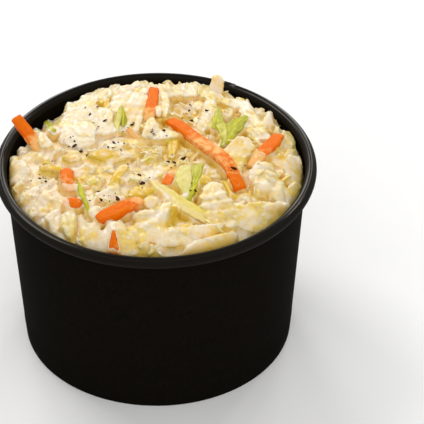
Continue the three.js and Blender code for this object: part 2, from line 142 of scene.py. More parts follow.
# Two that stand up free of the heap: the carrot over the rim and the pale stalk end.
RIM_CARROT = strip(
    (-34.5, 6, 60.5), (-38.5, 9.8, 64.2), (-43.2, 14.2, 68.4),
    width=3.9, depth=2, coat=(1.2, 1, 0.4, 0, 0),
)
STUB = strip((17.9, 32.6, 61), (18.5, 35.8, 64.8), (19, 37.5, 67), width=4.4, depth=2.8, coat=(1, 0.7))

# How a strip is cut: points round its section, how square that is, how torn its edges are, how
# far its ends stand out against its depth, and how wide they are left.
SHRED_CUT = dict(around=8, square=0.7, ragged=0.22, round_end=0.35, end_share=0.62)
BIT_CUT = dict(around=6, square=0.75, ragged=0.25, round_end=0.4, end_share=0.62)
CARROT_CUT = dict(around=12, square=0.34, ragged=0.1, round_end=0.06, end_share=0.9)
STUB_CUT = dict(around=14, square=0.7, ragged=0.2, round_end=0.3, end_share=0.62)

# tint runs from cream through pale green to golden, which it is past SOAKED_TINT.
SOAKED_TINT = 0.8
CARROT_TINT = 0.5
STUB_TINT = 0.1
CABBAGE_THICKNESS = 0.7
CARROT_THICKNESS = 1.6
GREEN_THICKNESS = 0.4


def patch(*rungs, coat=(1, 1), tint=0.1, crown=0.15, waves=0.0, ragged=0.07, bulge=0.22, busy=False):
    """A piece that stands out, spread between two edges.

    A rung goes from the left edge to the right one. Each end is given as the camera sees it: across
    and down the picture in pixels, then how high over the heap in millimetres. coat is how much
    dressing covers the first rung and the last. Later pieces may lie on a busy one.
    """
    ends = np.array(rungs)
    return SimpleNamespace(
        left=ends[:, :3], right=ends[:, 3:], coat=np.array(coat), tint=tint, crown=crown,
        waves=waves, ragged=ragged, bulge=bulge, busy=busy,
    )


GREEN_PATCHES = [
    # a leaf folded down its middle, at the back left
    patch((119, 108, 2.2, 122, 105, 2.4), (115, 118, 1.2, 121.5, 118, 1.8), (114, 131, 0.6, 118, 132, 0.6),
          tint=0.4, ragged=0.14, coat=(0.6, 1.2)),
    patch((122, 105, 2.4, 123, 108, 2.2), (121.5, 118, 1.8, 127, 120, 1), (122, 127, 0.8, 124.5, 126, 0.6),
          coat=(0, 0)),
    # beside the carrot on the rim
    patch((42, 120, 1.5, 47, 119, 1.5), (47, 129, 1.2, 54, 126, 1), (52, 136, 0.5, 59, 133, 0.5),
          coat=(0.3, 0.5)),
    # strips in the middle and at the left
    patch((78, 184, 1.2, 81, 184, 1.2), (78, 193, 1, 84.5, 192, 1), (84, 204, 0.7, 88, 203, 0.7),
          (87, 213, 0.4, 89.5, 212, 0.4), coat=(0, 0.3)),
    patch((92, 196, 1, 96, 195, 1), (90, 208, 0.5, 94, 207, 0.5), coat=(0.6, 0.8)),
    # the long strip across the front, with a ridge along it
    patch((152, 180, 0.1, 152, 186, 0), (162, 184.5, 0.4, 163, 196, 0.2), (180, 195, 0.5, 179, 209, 0.3),
          (198, 206, 0.4, 193, 217, 0.3), (213, 212, 0.3, 205, 223.5, 0.1), (217, 219, 0, 213, 224, -0.1),
          tint=1, crown=0.3, ragged=0.04, coat=(1.3, 0.1)),
    # the folded leaf in the middle
    patch((178, 167, 0.9, 191, 166, 1.4), (175, 179, 0.7, 192, 180, 1.2), (183, 194, 0.2, 188, 199, 0.4),
          tint=0.5, waves=0.04, ragged=0.2, coat=(1.2, 1)),
    patch((191, 166, 1.4, 205, 164, 0.9), (192, 180, 1.2, 199, 181, 0.5), (188, 199, 0.4, 191, 202, 0.1),
          waves=0.04, ragged=0.2, coat=(0.8, 0.1)),
    # the forked leaf at the back right
    patch((217.5, 107, 2, 219, 106.5, 2), (213, 118, 1.6, 223, 117, 1.6), (211, 128, 1, 227, 129, 1.2),
          waves=0.04, ragged=0.14, coat=(0.2, 0.6)),
    patch((214, 124, 1.2, 226, 123, 1.9), (219, 134, 1, 227, 133, 1.4), (222, 146, 0.6, 226, 144, 0.8),
          waves=0.04, coat=(0.8, 1)),
    patch((246, 115.5, 2.6, 248, 118, 2.4), (233, 119, 2, 243, 128, 1.4), (224.5, 128, 1.4, 234, 138, 1),
          (220, 147, 0.6, 225, 147, 0.5), waves=0.04, ragged=0.14, bulge=0.1, coat=(-0.3, 0)),
]
CARROT_PATCHES = [
    # the piece under the tent, the one at the left, and its coated end
    patch((112.5, 232, 2.6, 115, 232, 2.6), (109, 246, 1.8, 119, 246, 1.8), (106, 258, 0.8, 123, 258, 0.8),
          coat=(0, 1)),
    patch((60.5, 171, 0.9, 73, 171, 0.9), (60.5, 180, 0.8, 74, 181, 0.8), (63, 190, 0.1, 76, 191, 0.1),
          crown=0.4, ragged=0.06, bulge=0.2, coat=(0, 0.9)),
    patch((65, 200, 0.9, 66, 209, 0.3), (72, 198, 1.1, 72, 210, 0.3), (80, 200, 0.8, 79, 208, 0.1),
          crown=0.4, ragged=0.1, coat=(0.8, 0.3)),
]
CABBAGE_PATCHES = [
    # golden pieces, soaked and bare, laid in the hollows: soaked cabbage that also paints the golden shade
    # there
    patch((101, 96, 0.2, 112, 95, 0.2), (104, 108, 0, 108, 106, 0), (108, 116, -0.2, 110, 117, -0.2),
          tint=0.9, coat=(0, 0)),
    patch((168, 139, 0, 178, 138, 0.2), (168, 150, 0, 178, 148, 0), (168, 158, -0.2, 174, 158, -0.2),
          tint=1, coat=(0, 0)),
    patch((88, 155, 0.4, 92, 158, 0), (100, 150, 1, 104, 162, 0.2), (114, 150, 0.9, 116, 163, 0.1),
          (127, 156, 0.2, 127, 160, 0), tint=0.9, coat=(0, 0.2)),
    patch((132, 188, 0.2, 130, 197, 0), (142, 186, 0.2, 140, 198, 0), (152, 189, 0.2, 150, 194, 0), tint=1,
          coat=(0, 0)),
    patch((119, 166, 0.8, 129, 166, 0.6), (112, 177, 0.6, 121, 180, 0.3), (105, 190, 0, 114, 193, 0),
          tint=1, coat=(0.2, 0)),
    patch((63, 156, 0.4, 65, 161, 0.2), (72, 153, 0.5, 72, 163, 0.2), (80, 156, 0.3, 79, 161, 0.1),
          tint=0.8, coat=(0.2, 0.2)),
    patch((40, 165, 0.3, 42, 171, 0), (52, 166, 0.4, 52, 172, 0), (62, 168, 0.3, 62, 173, 0), tint=0.9,
          coat=(0.1, 0.2)),
    patch((228, 236, 0.2, 237, 235, 0.2), (230, 244, 0, 236, 241, 0), tint=1, coat=(0, 0)),
    patch((198, 177, 0.3, 198, 186, 0), (205, 175, 0.4, 204, 184, 0), (212, 180, 0.2, 209, 187, 0),
          tint=0.95, coat=(0, 0)),
    patch((222, 180, 0.2, 228, 183, 0.2), (228, 192, 0.1, 232, 193, 0.2), (230, 200, 0, 240, 196, 0),
          tint=0.9, coat=(0, 0.2)),
    patch((214, 97, 0.4, 217, 104, 0.4), (213, 112, 0.3, 216, 114, 0.3), (209, 126, 0.1, 213, 126, 0.1),
          tint=0.95, coat=(0, 0)),
    patch((262, 160, 0.2, 286, 152, 0.6), (268, 164, 0, 290, 160, 0.2), tint=0.95, coat=(0, 0)),
    patch((165, 228, 0.2, 170, 227, 0), (168, 214, 0.4, 173, 216, 0.1), (173, 206, 0.7, 178, 209, 0.3),
          tint=1, coat=(0, 0)),
    # the back edge of the heap, its pieces standing against the light
    patch((80, 99, 0.8, 84, 108, 0.2), (90, 91, 1.2, 94, 103, 0.2), (107, 88, 1.2, 108, 98, 0.2),
          busy=True),
    patch((109, 88, 1, 109, 96, 0.2), (113, 83.5, 1.8, 114, 97, 0.2), (120, 85, 1.6, 120, 96, 0.2),
          coat=(0.6, 0.6)),
    patch((121, 87, 1.2, 121, 96, 0.2), (127, 85, 1.4, 127, 96, 0.2), (132, 86, 1.2, 133, 96, 0.2)),
    patch((131, 84, 1.4, 131, 94, 0.2), (138, 81.5, 1.8, 139, 95, 0.2), (148, 85, 1.4, 148, 95, 0.2),
          coat=(0.8, 1)),
    patch((158, 91, 1, 160, 98, 0.2), (167, 83.5, 2.6, 168, 99, 0.2), (171, 89, 1.4, 175, 97, 0.2),
          coat=(1, 0.8)),
    patch((172, 88, 1.2, 176, 97, 0.2), (184, 84, 1.6, 188, 97, 0.2), (199, 81, 1.8, 200, 96, 0.2),
          coat=(1, 0.7)),
    patch((200, 85, 1.6, 200, 97, 0.2), (206, 83.5, 1.8, 206, 98, 0.2), (212, 88, 1.4, 212, 98, 0.2),
          tint=0.45, coat=(0.4, 0.6)),
    patch((218, 94, 1.2, 221, 103, 0.2), (232, 100, 1.2, 232, 108, 0.2), (248, 101.5, 1.6, 245, 112, 0.3),
          ragged=0.12, coat=(0.8, 0.6)),
    # broad smooth leaves at the back left
    patch((69, 108, 1.6, 98, 97, 1.6), (62, 118, 1, 96, 112, 1.4), (60, 130, 0.6, 100, 128, 0.6),
          crown=0.6, busy=True),
    patch((98, 108, 1, 113, 112, 1), (97, 121, 0.7, 113, 122, 0.7), (97, 133, 0.3, 112, 134, 0.3),
          coat=(1, 0.8)),
    patch((58, 124, 1.4, 98, 126, 1.2), (60, 142, 0.4, 94, 144, 0.3), crown=0.9),
    patch((112, 97, 2, 149, 96, 2), (110, 110, 1, 148, 112, 1), (113, 127, 0.2, 138, 131, 0.2), crown=0.3,
          coat=(1, 0.8)),
    # the strip that runs down from the stalk end, and the leaf at its right
    patch((209, 91, 1, 218, 93, 1), (203, 106, 0.7, 214, 108, 0.7), (199, 120, 0.5, 210, 122, 0.5),
          (194, 132, 0.1, 203, 135, 0.1), tint=0.3, crown=0.3, ragged=0.14, coat=(0.9, 0.5)),
    patch((236, 103, 1.2, 249, 104, 1.4), (240, 113, 0.9, 258, 115, 1.2), (244, 127, 0.5, 263, 127, 0.8),
          crown=0.3, ragged=0.1, coat=(1, 0.8)),
    patch((244, 127, 0.8, 262, 123, 1.2), (250, 139, 0.4, 270, 136, 0.8), tint=0.35, crown=0.6,
          coat=(0.7, 0.4)),
    # curled pieces against the wall at the right
    patch((262, 134, 0.4, 270, 132, 0.4), (263, 122, 2, 273, 124, 2), (266, 113, 3.6, 272, 113, 3.6),
          crown=0.9),
    patch((274, 134, 1.4, 280, 135, 1.4), (275, 128, 2.6, 279, 128, 2.6), crown=0.5),
    patch((281, 142, 1.4, 289, 149, 1.4), (280, 136, 2.8, 295, 144, 2.6), (284, 131, 3.8, 294, 136, 3.6),
          tint=0.4, coat=(0.5, 0.3)),
    patch((284, 156, 0.8, 291, 157, 0.8), (288, 150, 1.8, 296, 151, 1.8), tint=0.35, coat=(0.5, 0.3)),
    # the round flake that faces the camera
    patch((238, 171, 0.2, 241, 171, 0.2), (229, 160, 1.4, 247, 158, 1.4), (224, 151, 2.4, 255, 148, 2.4),
          (231, 142, 3.4, 252, 141, 3.4), tint=0.2, ragged=0.12, bulge=0.3, coat=(0.2, 1)),
    # peaks and lumps in the middle
    patch((161, 93, 1.8, 168, 95, 1.6), (161, 104, 1.2, 170, 106, 1.2), (158, 115, 0.6, 166, 117, 0.6),
          tint=0.35, coat=(0.6, 0.5)),
    patch((155, 108, 2.2, 161, 106, 2.2), (154, 113, 1.8, 162, 111, 1.8), (157, 117, 1.2, 161, 116, 1.2),
          crown=0.5),
    patch((148, 120, 1.8, 155, 119, 1.8), (144, 127, 1.3, 159, 126, 1.2), (141, 137, 0.2, 164, 137, 0.2),
          crown=0.4, ragged=0.14, busy=True),
    patch((155, 135, 0.9, 155, 141, 0.4), (160, 131, 1.3, 162, 140, 0.5), (168, 130, 1.3, 170, 139, 0.5),
          (177, 133, 0.9, 177, 138, 0.3), crown=0.2),
    # under the long carrot, and the clump at its right
    patch((252, 166, 1, 260, 161, 2), (253, 180, 0.3, 258, 178, 1.2), (254, 196, -0.1, 256, 194, 0.4),
          crown=0.7, busy=True),
    patch((258, 163, 2.2, 272, 165, 2.2), (262, 172, 1.6, 276, 174, 1.4), crown=0.9, busy=True),
    patch((258, 176, 1.8, 276, 174, 2), (262, 186, 1, 279, 183, 1.2), crown=0.9, busy=True),
    patch((256, 188, 1.2, 268, 184, 1.8), (256, 198, 0.4, 276, 192, 0.8), crown=0.8, coat=(0.8, 0.6),
          busy=True),
    patch((276, 184, 1.6, 284, 184, 1.6), (272, 198, 0.6, 284, 202, 0.6), tint=0.45, crown=0.6,
          coat=(0.8, 0.2)),
    patch((283, 165, 2, 299, 159, 2.2), (286, 178, 1, 302, 168, 1.2), (289, 186, 0.4, 301, 184, 0.4),
          tint=0.2, crown=0.3, coat=(0.8, 0.4), busy=True),
    patch((286, 190, 1, 301, 186, 1.4), (287, 204, 0.3, 299, 196, 0.4), tint=0.35, coat=(0.8, 0.3)),
    # the ribbed leaf and the broad ones behind the near rim
    patch((204, 187, 1.2, 222, 186, 1.8), (200, 202, 1, 232, 203, 1.5), (207, 223, 0.4, 246, 224, 0.6),
          tint=0.1, waves=0.3, ragged=0.1, coat=(1, 0.9)),
    patch((234, 207, 1.2, 242, 230, 0.4), (258, 202, 1.6, 262, 233, 0.6), (288, 205, 1, 284, 221, 0.4),
          tint=0.35, crown=0.6, coat=(0.7, 0.8)),
    patch((262, 207, 1.8, 268, 213, 0.8), (275, 203, 2, 280, 212, 0.8), (290, 205, 1.4, 290, 210, 0.6),
          crown=0.4),
    patch((163, 229, 1, 150, 243, 0.4), (185, 227, 1.8, 172, 248, 0.6), (205, 225, 1.8, 190, 243, 0.8),
          (224, 223, 1.2, 212, 236, 0.8), crown=0.7, coat=(0.8, 1)),
    patch((180, 254, 1.2, 186, 259, 0), (194, 242, 2.6, 206, 258, 0.2), (214, 236, 2.8, 222, 253, 0.2),
          (234, 231, 2, 236, 244, 0.2), crown=1.2, coat=(0.9, 0.6)),
    # wet white pieces round the carrots in front
    patch((91, 210, 1.6, 100, 207, 1.8), (88, 216, 1, 103, 212, 1.2), (93, 221, 0.4, 99, 220, 0.4),
          crown=0.7),
    patch((114, 199, 1.8, 114, 203, 1.2), (120, 196, 2.2, 120, 203, 1.4), (125, 198, 1.6, 125, 203, 1),
          crown=0.4),
    patch((157, 207, 1, 172, 203, 1.6), (155, 218, 0.8, 168, 214, 1.4), (158, 226, 0.4, 164, 227, 0.8),
          crown=0.3),
    patch((143, 201, 1.6, 146, 209, 0.6), (148, 197, 2, 153, 210, 0.8), (158, 198, 1.6, 160, 205, 0.8),
          crown=0.9, coat=(0.9, 0.9)),
    patch((132, 217, 1, 136, 222, 0.4), (140, 211, 2, 146, 221, 0.6), (154, 210, 1.6, 155, 219, 0.6),
          crown=0.9, coat=(0.9, 0.9)),
    patch((127, 227, 0.6, 128, 243, 0.5), (140, 222, 1.2, 144, 243, 0.9), (152, 220, 1.4, 156, 241, 0.7),
          (163, 226, 0.6, 166, 238, 0.3), crown=0.8, coat=(1, 0.8)),
    patch((139, 243, 1.6, 140, 250, 0.8), (146, 243, 2, 148, 253, 0.6), (154, 246, 1.8, 156, 256, 0.4),
          (163, 252, 1, 164, 258, 0.1), waves=0.4, busy=True),
    # a leaf folded like a tent over the carrot in front
    patch((108, 224, 1.8, 114, 225, 2.4), (98, 239, 1, 111, 240, 1.8), (92, 253, 0.2, 108, 256, 0.6)),
    patch((115, 225, 2.4, 122, 221, 1.8), (119, 240, 1.8, 132, 238, 1), (123, 257, 0.6, 139, 254, 0.2)),
    patch((110, 224, 1.6, 119, 224, 1.6), (110, 231, 1.6, 119, 231, 1.6), crown=0.7),
    patch((80, 228, 0.9, 100, 226, 1), (78, 238, 0.6, 102, 238, 0.8), (84, 247, 0.2, 97, 250, 0.2),
          crown=0.4, busy=True),
    # the front left and the wall at the left
    patch((62, 214, 0.3, 76, 213, 0.4), (60, 225, 0.1, 76, 224, 0.2), (66, 236, 0, 72, 238, 0), tint=0.5,
          coat=(0.5, 0.5)),
    patch((29, 209, 1, 33, 210, 1), (29, 218, 0.5, 33, 219, 0.5), tint=0.9, coat=(0.2, 0.2)),
    patch((7, 157, 3, 10, 184, 0.2), (14, 158, 3, 15, 184, 0.1), (24, 162, 1.6, 22, 180, 0), tint=0.2,
          coat=(0.8, 0.4), busy=True),
    patch((20, 180, 0.8, 24, 180, 0.8), (20, 185, 0.5, 24, 185, 0.5), tint=0.5, coat=(0.2, 0.2)),
    patch((21, 195, 0.9, 25, 194, 0.9), (21, 200, 0.6, 26, 200, 0.6), tint=0.5, coat=(0.2, 0.2)),
    patch((25, 131, 1.4, 34, 127, 1.8), (34, 140, 0.8, 46, 136, 1.2), (42, 148, 0.4, 54, 145, 0.6),
          coat=(0.8, 0.8)),
]

# Coarse pepper: x, y and size against PEPPER_SIZE.
PEPPER_SIZE = 0.62
PEPPER = [
    (-34, -2.8, 1.8), (-35, -8.6, 1.1), (-32.9, -11.9, 1), (-25, 3.4, 1.2), (-22.8, 1, 1.3),
    (-20.8, -2, 1), (-20.6, 18.4, 1), (-16, 15.2, 1.1), (-12.8, 4.4, 1.4), (-14.4, 1.6, 1),
    (-7.4, 13, 1), (-16, -18.6, 1.5), (-15.8, -23.8, 1.2), (-10.8, -26, 1.5), (-4.8, -12.2, 1),
    (-3.8, -15.6, 1.5), (-8.8, -7, 1), (10, 24, 1), (10.8, 17.2, 1.2), (15.4, 20.4, 1),
    (-1.4, 8.4, 0.9), (2.4, 9.2, 0.9), (4, -3.6, 1.3), (8.4, -3.4, 1.4), (5.8, -4.6, 1),
    (23.6, -10.6, 1.7), (12.2, -20.4, 1),
]
PEPPER_DUST = 110
PEPPER_DUST_REACH = 5.0

# How many loose pieces lie under the ones with places of their own, and how many on top.
UNDER = dict(leaves=60, chips=400, shreds=90, bits=420)
ON_TOP = dict(leaves=20, chips=260, bits=460)

# ---------------------------------------------------------------- meshes


class Batch:
    """Many small closed pieces gathered into one mesh, with marks for their material."""

    def __init__(self):
        self.pieces = []
        self.count = 0

    def add(self, points, faces, look, grain):
        self.pieces.append((points, faces + self.count, look, grain))
        self.count += len(points)

    def build(self, name, material):
        points, faces, look, grain = (np.concatenate(parts) for parts in zip(*self.pieces))
        made = mesh_piece(name, points, faces, material)
        set_marks(made, look, grain)
        return made


def mesh_piece(name, points, faces, material):
    """A smooth-shaded mesh object from points in millimetres and triangles."""
    mesh = bpy.data.meshes.new(name)
    mesh.vertices.add(len(points))
    mesh.vertices.foreach_set("co", (points * MM).astype(np.float32).ravel())
    mesh.loops.add(faces.size)
    mesh.loops.foreach_set("vertex_index", faces.astype(np.int32).ravel())
    mesh.polygons.add(len(faces))
    mesh.polygons.foreach_set("loop_start", np.arange(0, faces.size, 3, dtype=np.int32))
    mesh.polygons.foreach_set("use_smooth", np.ones(len(faces), bool))
    mesh.update(calc_edges=True)
    mesh.materials.append(material)
    made = bpy.data.objects.new(name, mesh)
    bpy.context.scene.collection.objects.link(made)
    return made


def look_marks(tint, coat, warm=0.0):
    """look at each point: tint, coat, depth in the heap, which paints shade into hollows, and how much
    carrot shines through.

    The depth stays 0 until the whole heap is laid.
    """
    zero = np.zeros(len(coat))
    return np.stack([zero + tint, coat, zero, zero + warm], -1)


def grain_marks(along, across):
    """grain at each point: its place along and across the piece, and the piece's own number."""
    return np.stack([along, across, np.full(len(along), rng.random() * 50)], -1)


def set_marks(made, look, grain):
    colours = made.data.color_attributes.new("look", "FLOAT_COLOR", "POINT")
    colours.data.foreach_set("color", look.astype(np.float32).ravel())
    vectors = made.data.attributes.new("grain", "FLOAT_VECTOR", "POINT")
    vectors.data.foreach_set("vector", grain.astype(np.float32).ravel())


def fan(pole, here, ahead):
    """Triangles from a pole to each side of a closed loop of points."""
    return np.stack([np.full(len(here), pole), here, ahead], -1)


def tube_faces(rings, around):
    """Triangles of a tube of rings, with a pole at each end: the poles are the last two points."""
    i = np.arange(rings - 1)[:, None] * around
    k = np.arange(around)
    n = (k + 1) % around
    a, b = i + k, i + n
    sides = np.stack([a, b, b + around, a, b + around, a + around], -1).reshape(-1, 3)
    first, end = rings * around, (rings - 1) * around
    return np.concatenate([sides, fan(first, n, k), fan(first + 1, end + k, end + n)])


def grid_faces(nu, nv):
    """Triangles of a grid of nu by nv points, and the points round its edge."""
    k = np.arange(nu * nv).reshape(nu, nv)
    a, b, c, d = k[:-1, :-1], k[1:, :-1], k[1:, 1:], k[:-1, 1:]
    edge = np.concatenate([k[:, 0], k[-1, 1:], k[-2::-1, -1], k[0, -2:0:-1]])
    return np.stack([a, b, c, a, c, d], -1).reshape(-1, 3), edge


@cache
def leaf_faces(nu, nv):
    """Triangles of a thin leaf: an upper and a lower grid, joined round the edge."""
    top, edge = grid_faces(nu, nv)
    ahead = np.roll(edge, -1)
    size = nu * nv
    rim = [np.stack([edge, edge + size, ahead + size], -1), np.stack([edge, ahead + size, ahead], -1)]
    return np.concatenate([top, top[:, ::-1] + size, *rim])


def ring_mesh(profile, angles, swell):
    """A closed ring: an anticlockwise profile of (radius, height) carried round Z."""
    profile = np.asarray(profile)
    r = profile[:, 0] + swell
    z = np.broadcast_to(profile[:, 1], r.shape)
    points = np.stack([r * np.cos(angles)[:, None], r * np.sin(angles)[:, None], z], -1)
    n = len(profile)
    here = (np.arange(len(angles)) * n)[:, None]
    ahead = np.roll(here, -1, axis=0)
    i = np.arange(n)
    up = (i + 1) % n
    faces = np.stack([here + i, ahead + i, ahead + up, here + i, ahead + up, here + up], -1)
    return points.reshape(-1, 3), faces.reshape(-1, 3)


# ---------------------------------------------------------------- the tub


def wall_outer(z):
    return FOOT_RADIUS + WALL_SLOPE * z


def wall_inner(z):
    return wall_outer(z) - PAPER


def arc(centre_r, centre_z, radius, start, end, count):
    """Points (radius, height) round a circle, angles in degrees."""
    angles = np.radians(np.linspace(start, end, count))
    return list(zip(centre_r + radius * np.cos(angles), centre_z + radius * np.sin(angles)))


def tub_wall(board, roll):
    """The conical wall: a folded hem at the foot, a lapped seam and the rolled rim."""
    inner_foot = FOOT_RADIUS - HEM_THICKNESS
    hem_line = HEM_HEIGHT - 0.4
    lip = ROLL_Z - LIP_DROP
    heights = np.linspace(HEM_HEIGHT, lip - 0.5, 9)
    profile = [
        *arc(inner_foot + FOLD_RADIUS, FOLD_RADIUS, FOLD_RADIUS, 180, 270, 4),
        *arc(FOOT_RADIUS - FOLD_RADIUS, FOLD_RADIUS, FOLD_RADIUS, 270, 360, 4),
        (wall_outer(hem_line) + 0.07, hem_line),
        *[(wall_outer(z), z) for z in heights],
        (wall_outer(lip) + 0.02, lip + 0.25),
        *arc(ROLL_R, ROLL_Z, ROLL_RADIUS, -124, 180, 30),
        *[(wall_inner(z), z) for z in heights[::-1]],
        (wall_inner(HEM_HEIGHT) - 0.02, HEM_HEIGHT + 0.02),
        *arc(inner_foot + FOLD_RADIUS, HEM_HEIGHT - FOLD_RADIUS, FOLD_RADIUS, 90, 180, 4),
    ]
    regular = np.linspace(0, TURN, 288, endpoint=False)
    away = np.abs(regular - SEAM_ANGLE) > SEAM_HALF_WIDTH + 3 * SEAM_SLOPE
    inside = np.linspace(SEAM_ANGLE - SEAM_HALF_WIDTH, SEAM_ANGLE + SEAM_HALF_WIDTH, 7)
    beside = [inside[0] - SEAM_SLOPE, inside[-1] + SEAM_SLOPE]
    angles = np.sort(np.concatenate([regular[away], inside, beside]))
    on_seam = np.abs(angles - SEAM_ANGLE) < SEAM_HALF_WIDTH + SEAM_SLOPE / 2
    radii, rises = np.array(profile).T
    outer = (radii > wall_inner(rises) + PAPER / 2) & (rises > FOLD_RADIUS)
    # board is never quite round: a slow wobble of the wall between foot and rim
    wobble = 0.1 * np.sin(2 * angles + 0.7) + 0.05 * np.sin(5 * angles)
    swell = np.outer(on_seam, outer) * SEAM_STEP
    swell += wobble[:, None] * np.sin(np.pi * np.clip(rises / ROLL_Z, 0, 1))
    points, faces = ring_mesh(profile, angles, swell)
    made = mesh_piece("tub_wall_board", points, faces, board)
    made.data.materials.append(roll)
    on_roll = (points[faces, 2] > lip).all(1)
    made.data.polygons.foreach_set("material_index", on_roll.astype(np.int32))
    made.data.set_sharp_from_angle(angle=math.radians(50))
    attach(made, "root")
    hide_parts("tub_wall")


def tub_base(material):
    """The base disc, with the shallow pressed ring of a paper tub's base."""
    low, high = BASE_LOW[2], BASE_HIGH[2]
    edge = 0.2
    pinhole = 0.2
    rim = wall_inner(low) - FIT_GAP - edge
    pressed = low + RING_DEPTH
    profile = [(pinhole, low), (RING_INNER, low), (RING_INNER + RING_SLOPE, pressed)]
    profile += [(RING_OUTER - RING_SLOPE, pressed), (RING_OUTER, low), (rim, low)]
    profile += arc(rim, low + edge, edge, 270, 360, 3)[1:]
    profile += arc(rim, high - edge, edge, 0, 90, 3)
    profile += [(20, high), (pinhole, high)]
    around = 160
    angles = np.linspace(0, TURN, around, endpoint=False)
    points, faces = ring_mesh(profile, angles, np.zeros((around, len(profile))))
    # the pinhole is closed by two fans
    n = len(profile)
    here = np.arange(around) * n
    ahead = np.roll(here, -1)
    at_pinhole = np.isin(faces % n, [0, n - 1]).all(1)
    fans = [fan(len(points), ahead, here), fan(len(points) + 1, here + n - 1, ahead + n - 1)]
    points = np.vstack([points, [0, 0, low], [0, 0, high]])
    made = mesh_piece("tub_base_disc", points, np.concatenate([faces[~at_pinhole], *fans]), material)
    made.data.set_sharp_from_angle(angle=math.radians(40))
    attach(made, "root")
    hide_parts("tub_base")


# ---------------------------------------------------------------- the heap


def edge_height(x, y):
    turn = np.degrees(np.arctan2(y, x)) % 360
    k = np.searchsorted(EDGE_ANGLES, turn, side="right") - 1
    along = (turn - EDGE_ANGLES[k]) / (EDGE_ANGLES[k + 1] - EDGE_ANGLES[k])
    rise = EDGE_HEIGHTS[k + 1] - EDGE_HEIGHTS[k]
    return EDGE_HEIGHTS[k] + rise * (1 - np.cos(np.pi * along)) / 2


def mounds(x, y):
    broad = 0.45 * np.sin(0.42 * x + 0.9) * np.cos(0.38 * y - 0.4)
    fine = 0.3 * np.sin(0.71 * x - 0.54 * y + 2)
    return broad + fine


def heap_height(x, y):
    share = np.minimum(1, np.hypot(x, y) / HEAP_RADIUS)
    edge = edge_height(x, y)
    dome = np.sqrt(1 - share**HEAP_SQUARENESS)
    return edge + (HEAP_TOP - edge) * dome + mounds(x, y) * np.sqrt(1 - share)


def drawn_in(plan, most):
    """How much points in plan are scaled to lie no further from the axis than most."""
    return np.minimum(1, most / np.maximum(np.hypot(plan[:, 0], plan[:, 1]), 1e-6))[:, None]


def keep_in_tub(points):
    """The points, those past the tub's free space drawn in to it: clear of the wall and the rim."""
    z = points[:, 2]
    below = np.minimum(wall_inner(z), INNER_EDGE) - FIT_GAP
    points[:, :2] *= drawn_in(points, np.where(z > OVER_RIM, RIM_RADIUS - FIT_GAP, below))
    return points


VIEW_UP = np.array([0, math.sin(CAMERA_PITCH), math.cos(CAMERA_PITCH)])
VIEW_AHEAD = np.array([0, math.cos(CAMERA_PITCH), -math.sin(CAMERA_PITCH)])
RIM_CENTRE = np.array([CAMERA_ASIDE, 0, ROLL_Z])
CAMERA_PLACE = RIM_CENTRE - CAMERA_BELOW * VIEW_UP - CAMERA_DISTANCE * VIEW_AHEAD
SEARCH = np.linspace(-90, 90, 1801)


def seen_at(px, py, lift):
    """The point of the heap, raised by lift, that the camera sees at a point of its picture."""
    centre = IMAGE_WIDTH_PX / 2
    way = VIEW_AHEAD + VIEW_UP * (centre - py) / FOCAL_PX
    way[0] += (px - centre) / FOCAL_PX
    way /= np.linalg.norm(way)
    line = CAMERA_PLACE + (CAMERA_DISTANCE + SEARCH)[:, None] * way
    under = line[:, 2] < heap_height(line[:, 0], line[:, 1]) + lift
    return line[np.argmax(under)]


AXIS = np.linspace(-SPAN, SPAN, CELLS)
GRID_X, GRID_Y = np.meshgrid(AXIS, AXIS, indexing="ij")


def spread_max(field, radius):
    """Each cell's highest neighbour under a ball of a radius in millimetres."""
    reach = int(radius / CELL)
    best = np.full_like(field, -1e9)
    padded = np.pad(field, reach, mode="edge")
    for i in range(-reach, reach + 1):
        for j in range(-reach, reach + 1):
            gap = radius**2 - (i * i + j * j) * CELL**2
            if gap >= 0:
                moved = padded[reach + i : reach + i + CELLS, reach + j : reach + j + CELLS]
                best = np.maximum(best, moved + math.sqrt(gap) - radius)
    return best


def blurred(field, radius, rounds=3):
    """A soft average of a field over about a radius in millimetres."""
    reach = max(1, int(radius / CELL / 2))
    width = 2 * reach + 1
    for _ in range(rounds):
        for axis in (0, 1):
            pad = [(0, 0), (0, 0)]
            pad[axis] = (reach + 1, reach)
            total = np.cumsum(np.pad(field, pad, mode="edge"), axis)
            upper = np.take(total, range(width, width + CELLS), axis)
            field = (upper - np.take(total, range(CELLS), axis)) / width
    return field


def cloudy(scale):
    """A smooth random field over the grid, about -1 to 1, with lumps of a size in millimetres."""
    field = blurred(rng.standard_normal((CELLS, CELLS)), scale)
    return np.clip(field / field.std() / 1.6, -1.2, 1.2)


def billows(scale):
    """Rounded mounds with creases between them, about -1 to 1."""
    field = np.sqrt(np.abs(cloudy(scale)) + 0.02)
    return (field - field.mean()) / field.std() / 2


LUMPS = LUMP_HEIGHT * (0.6 * billows(LUMP_SIZE) + 0.4 * cloudy(1.3 * LUMP_SIZE))


def sampled(field, x, y):
    """A field's value at places between its cells."""
    i = np.clip((x + SPAN) / CELL, 0, CELLS - 1.001)
    j = np.clip((y + SPAN) / CELL, 0, CELLS - 1.001)
    i0 = i.astype(int)
    j0 = j.astype(int)
    u = i - i0
    v = j - j0
    near = field[i0, j0] * (1 - v) + field[i0, j0 + 1] * v
    far = field[i0 + 1, j0] * (1 - v) + field[i0 + 1, j0 + 1] * v
    return near * (1 - u) + far * u


def cells(x, y):
    """The cells nearest to places."""
    return tuple(np.clip(np.rint((w + SPAN) / CELL).astype(int), 0, CELLS - 1) for w in (x, y))


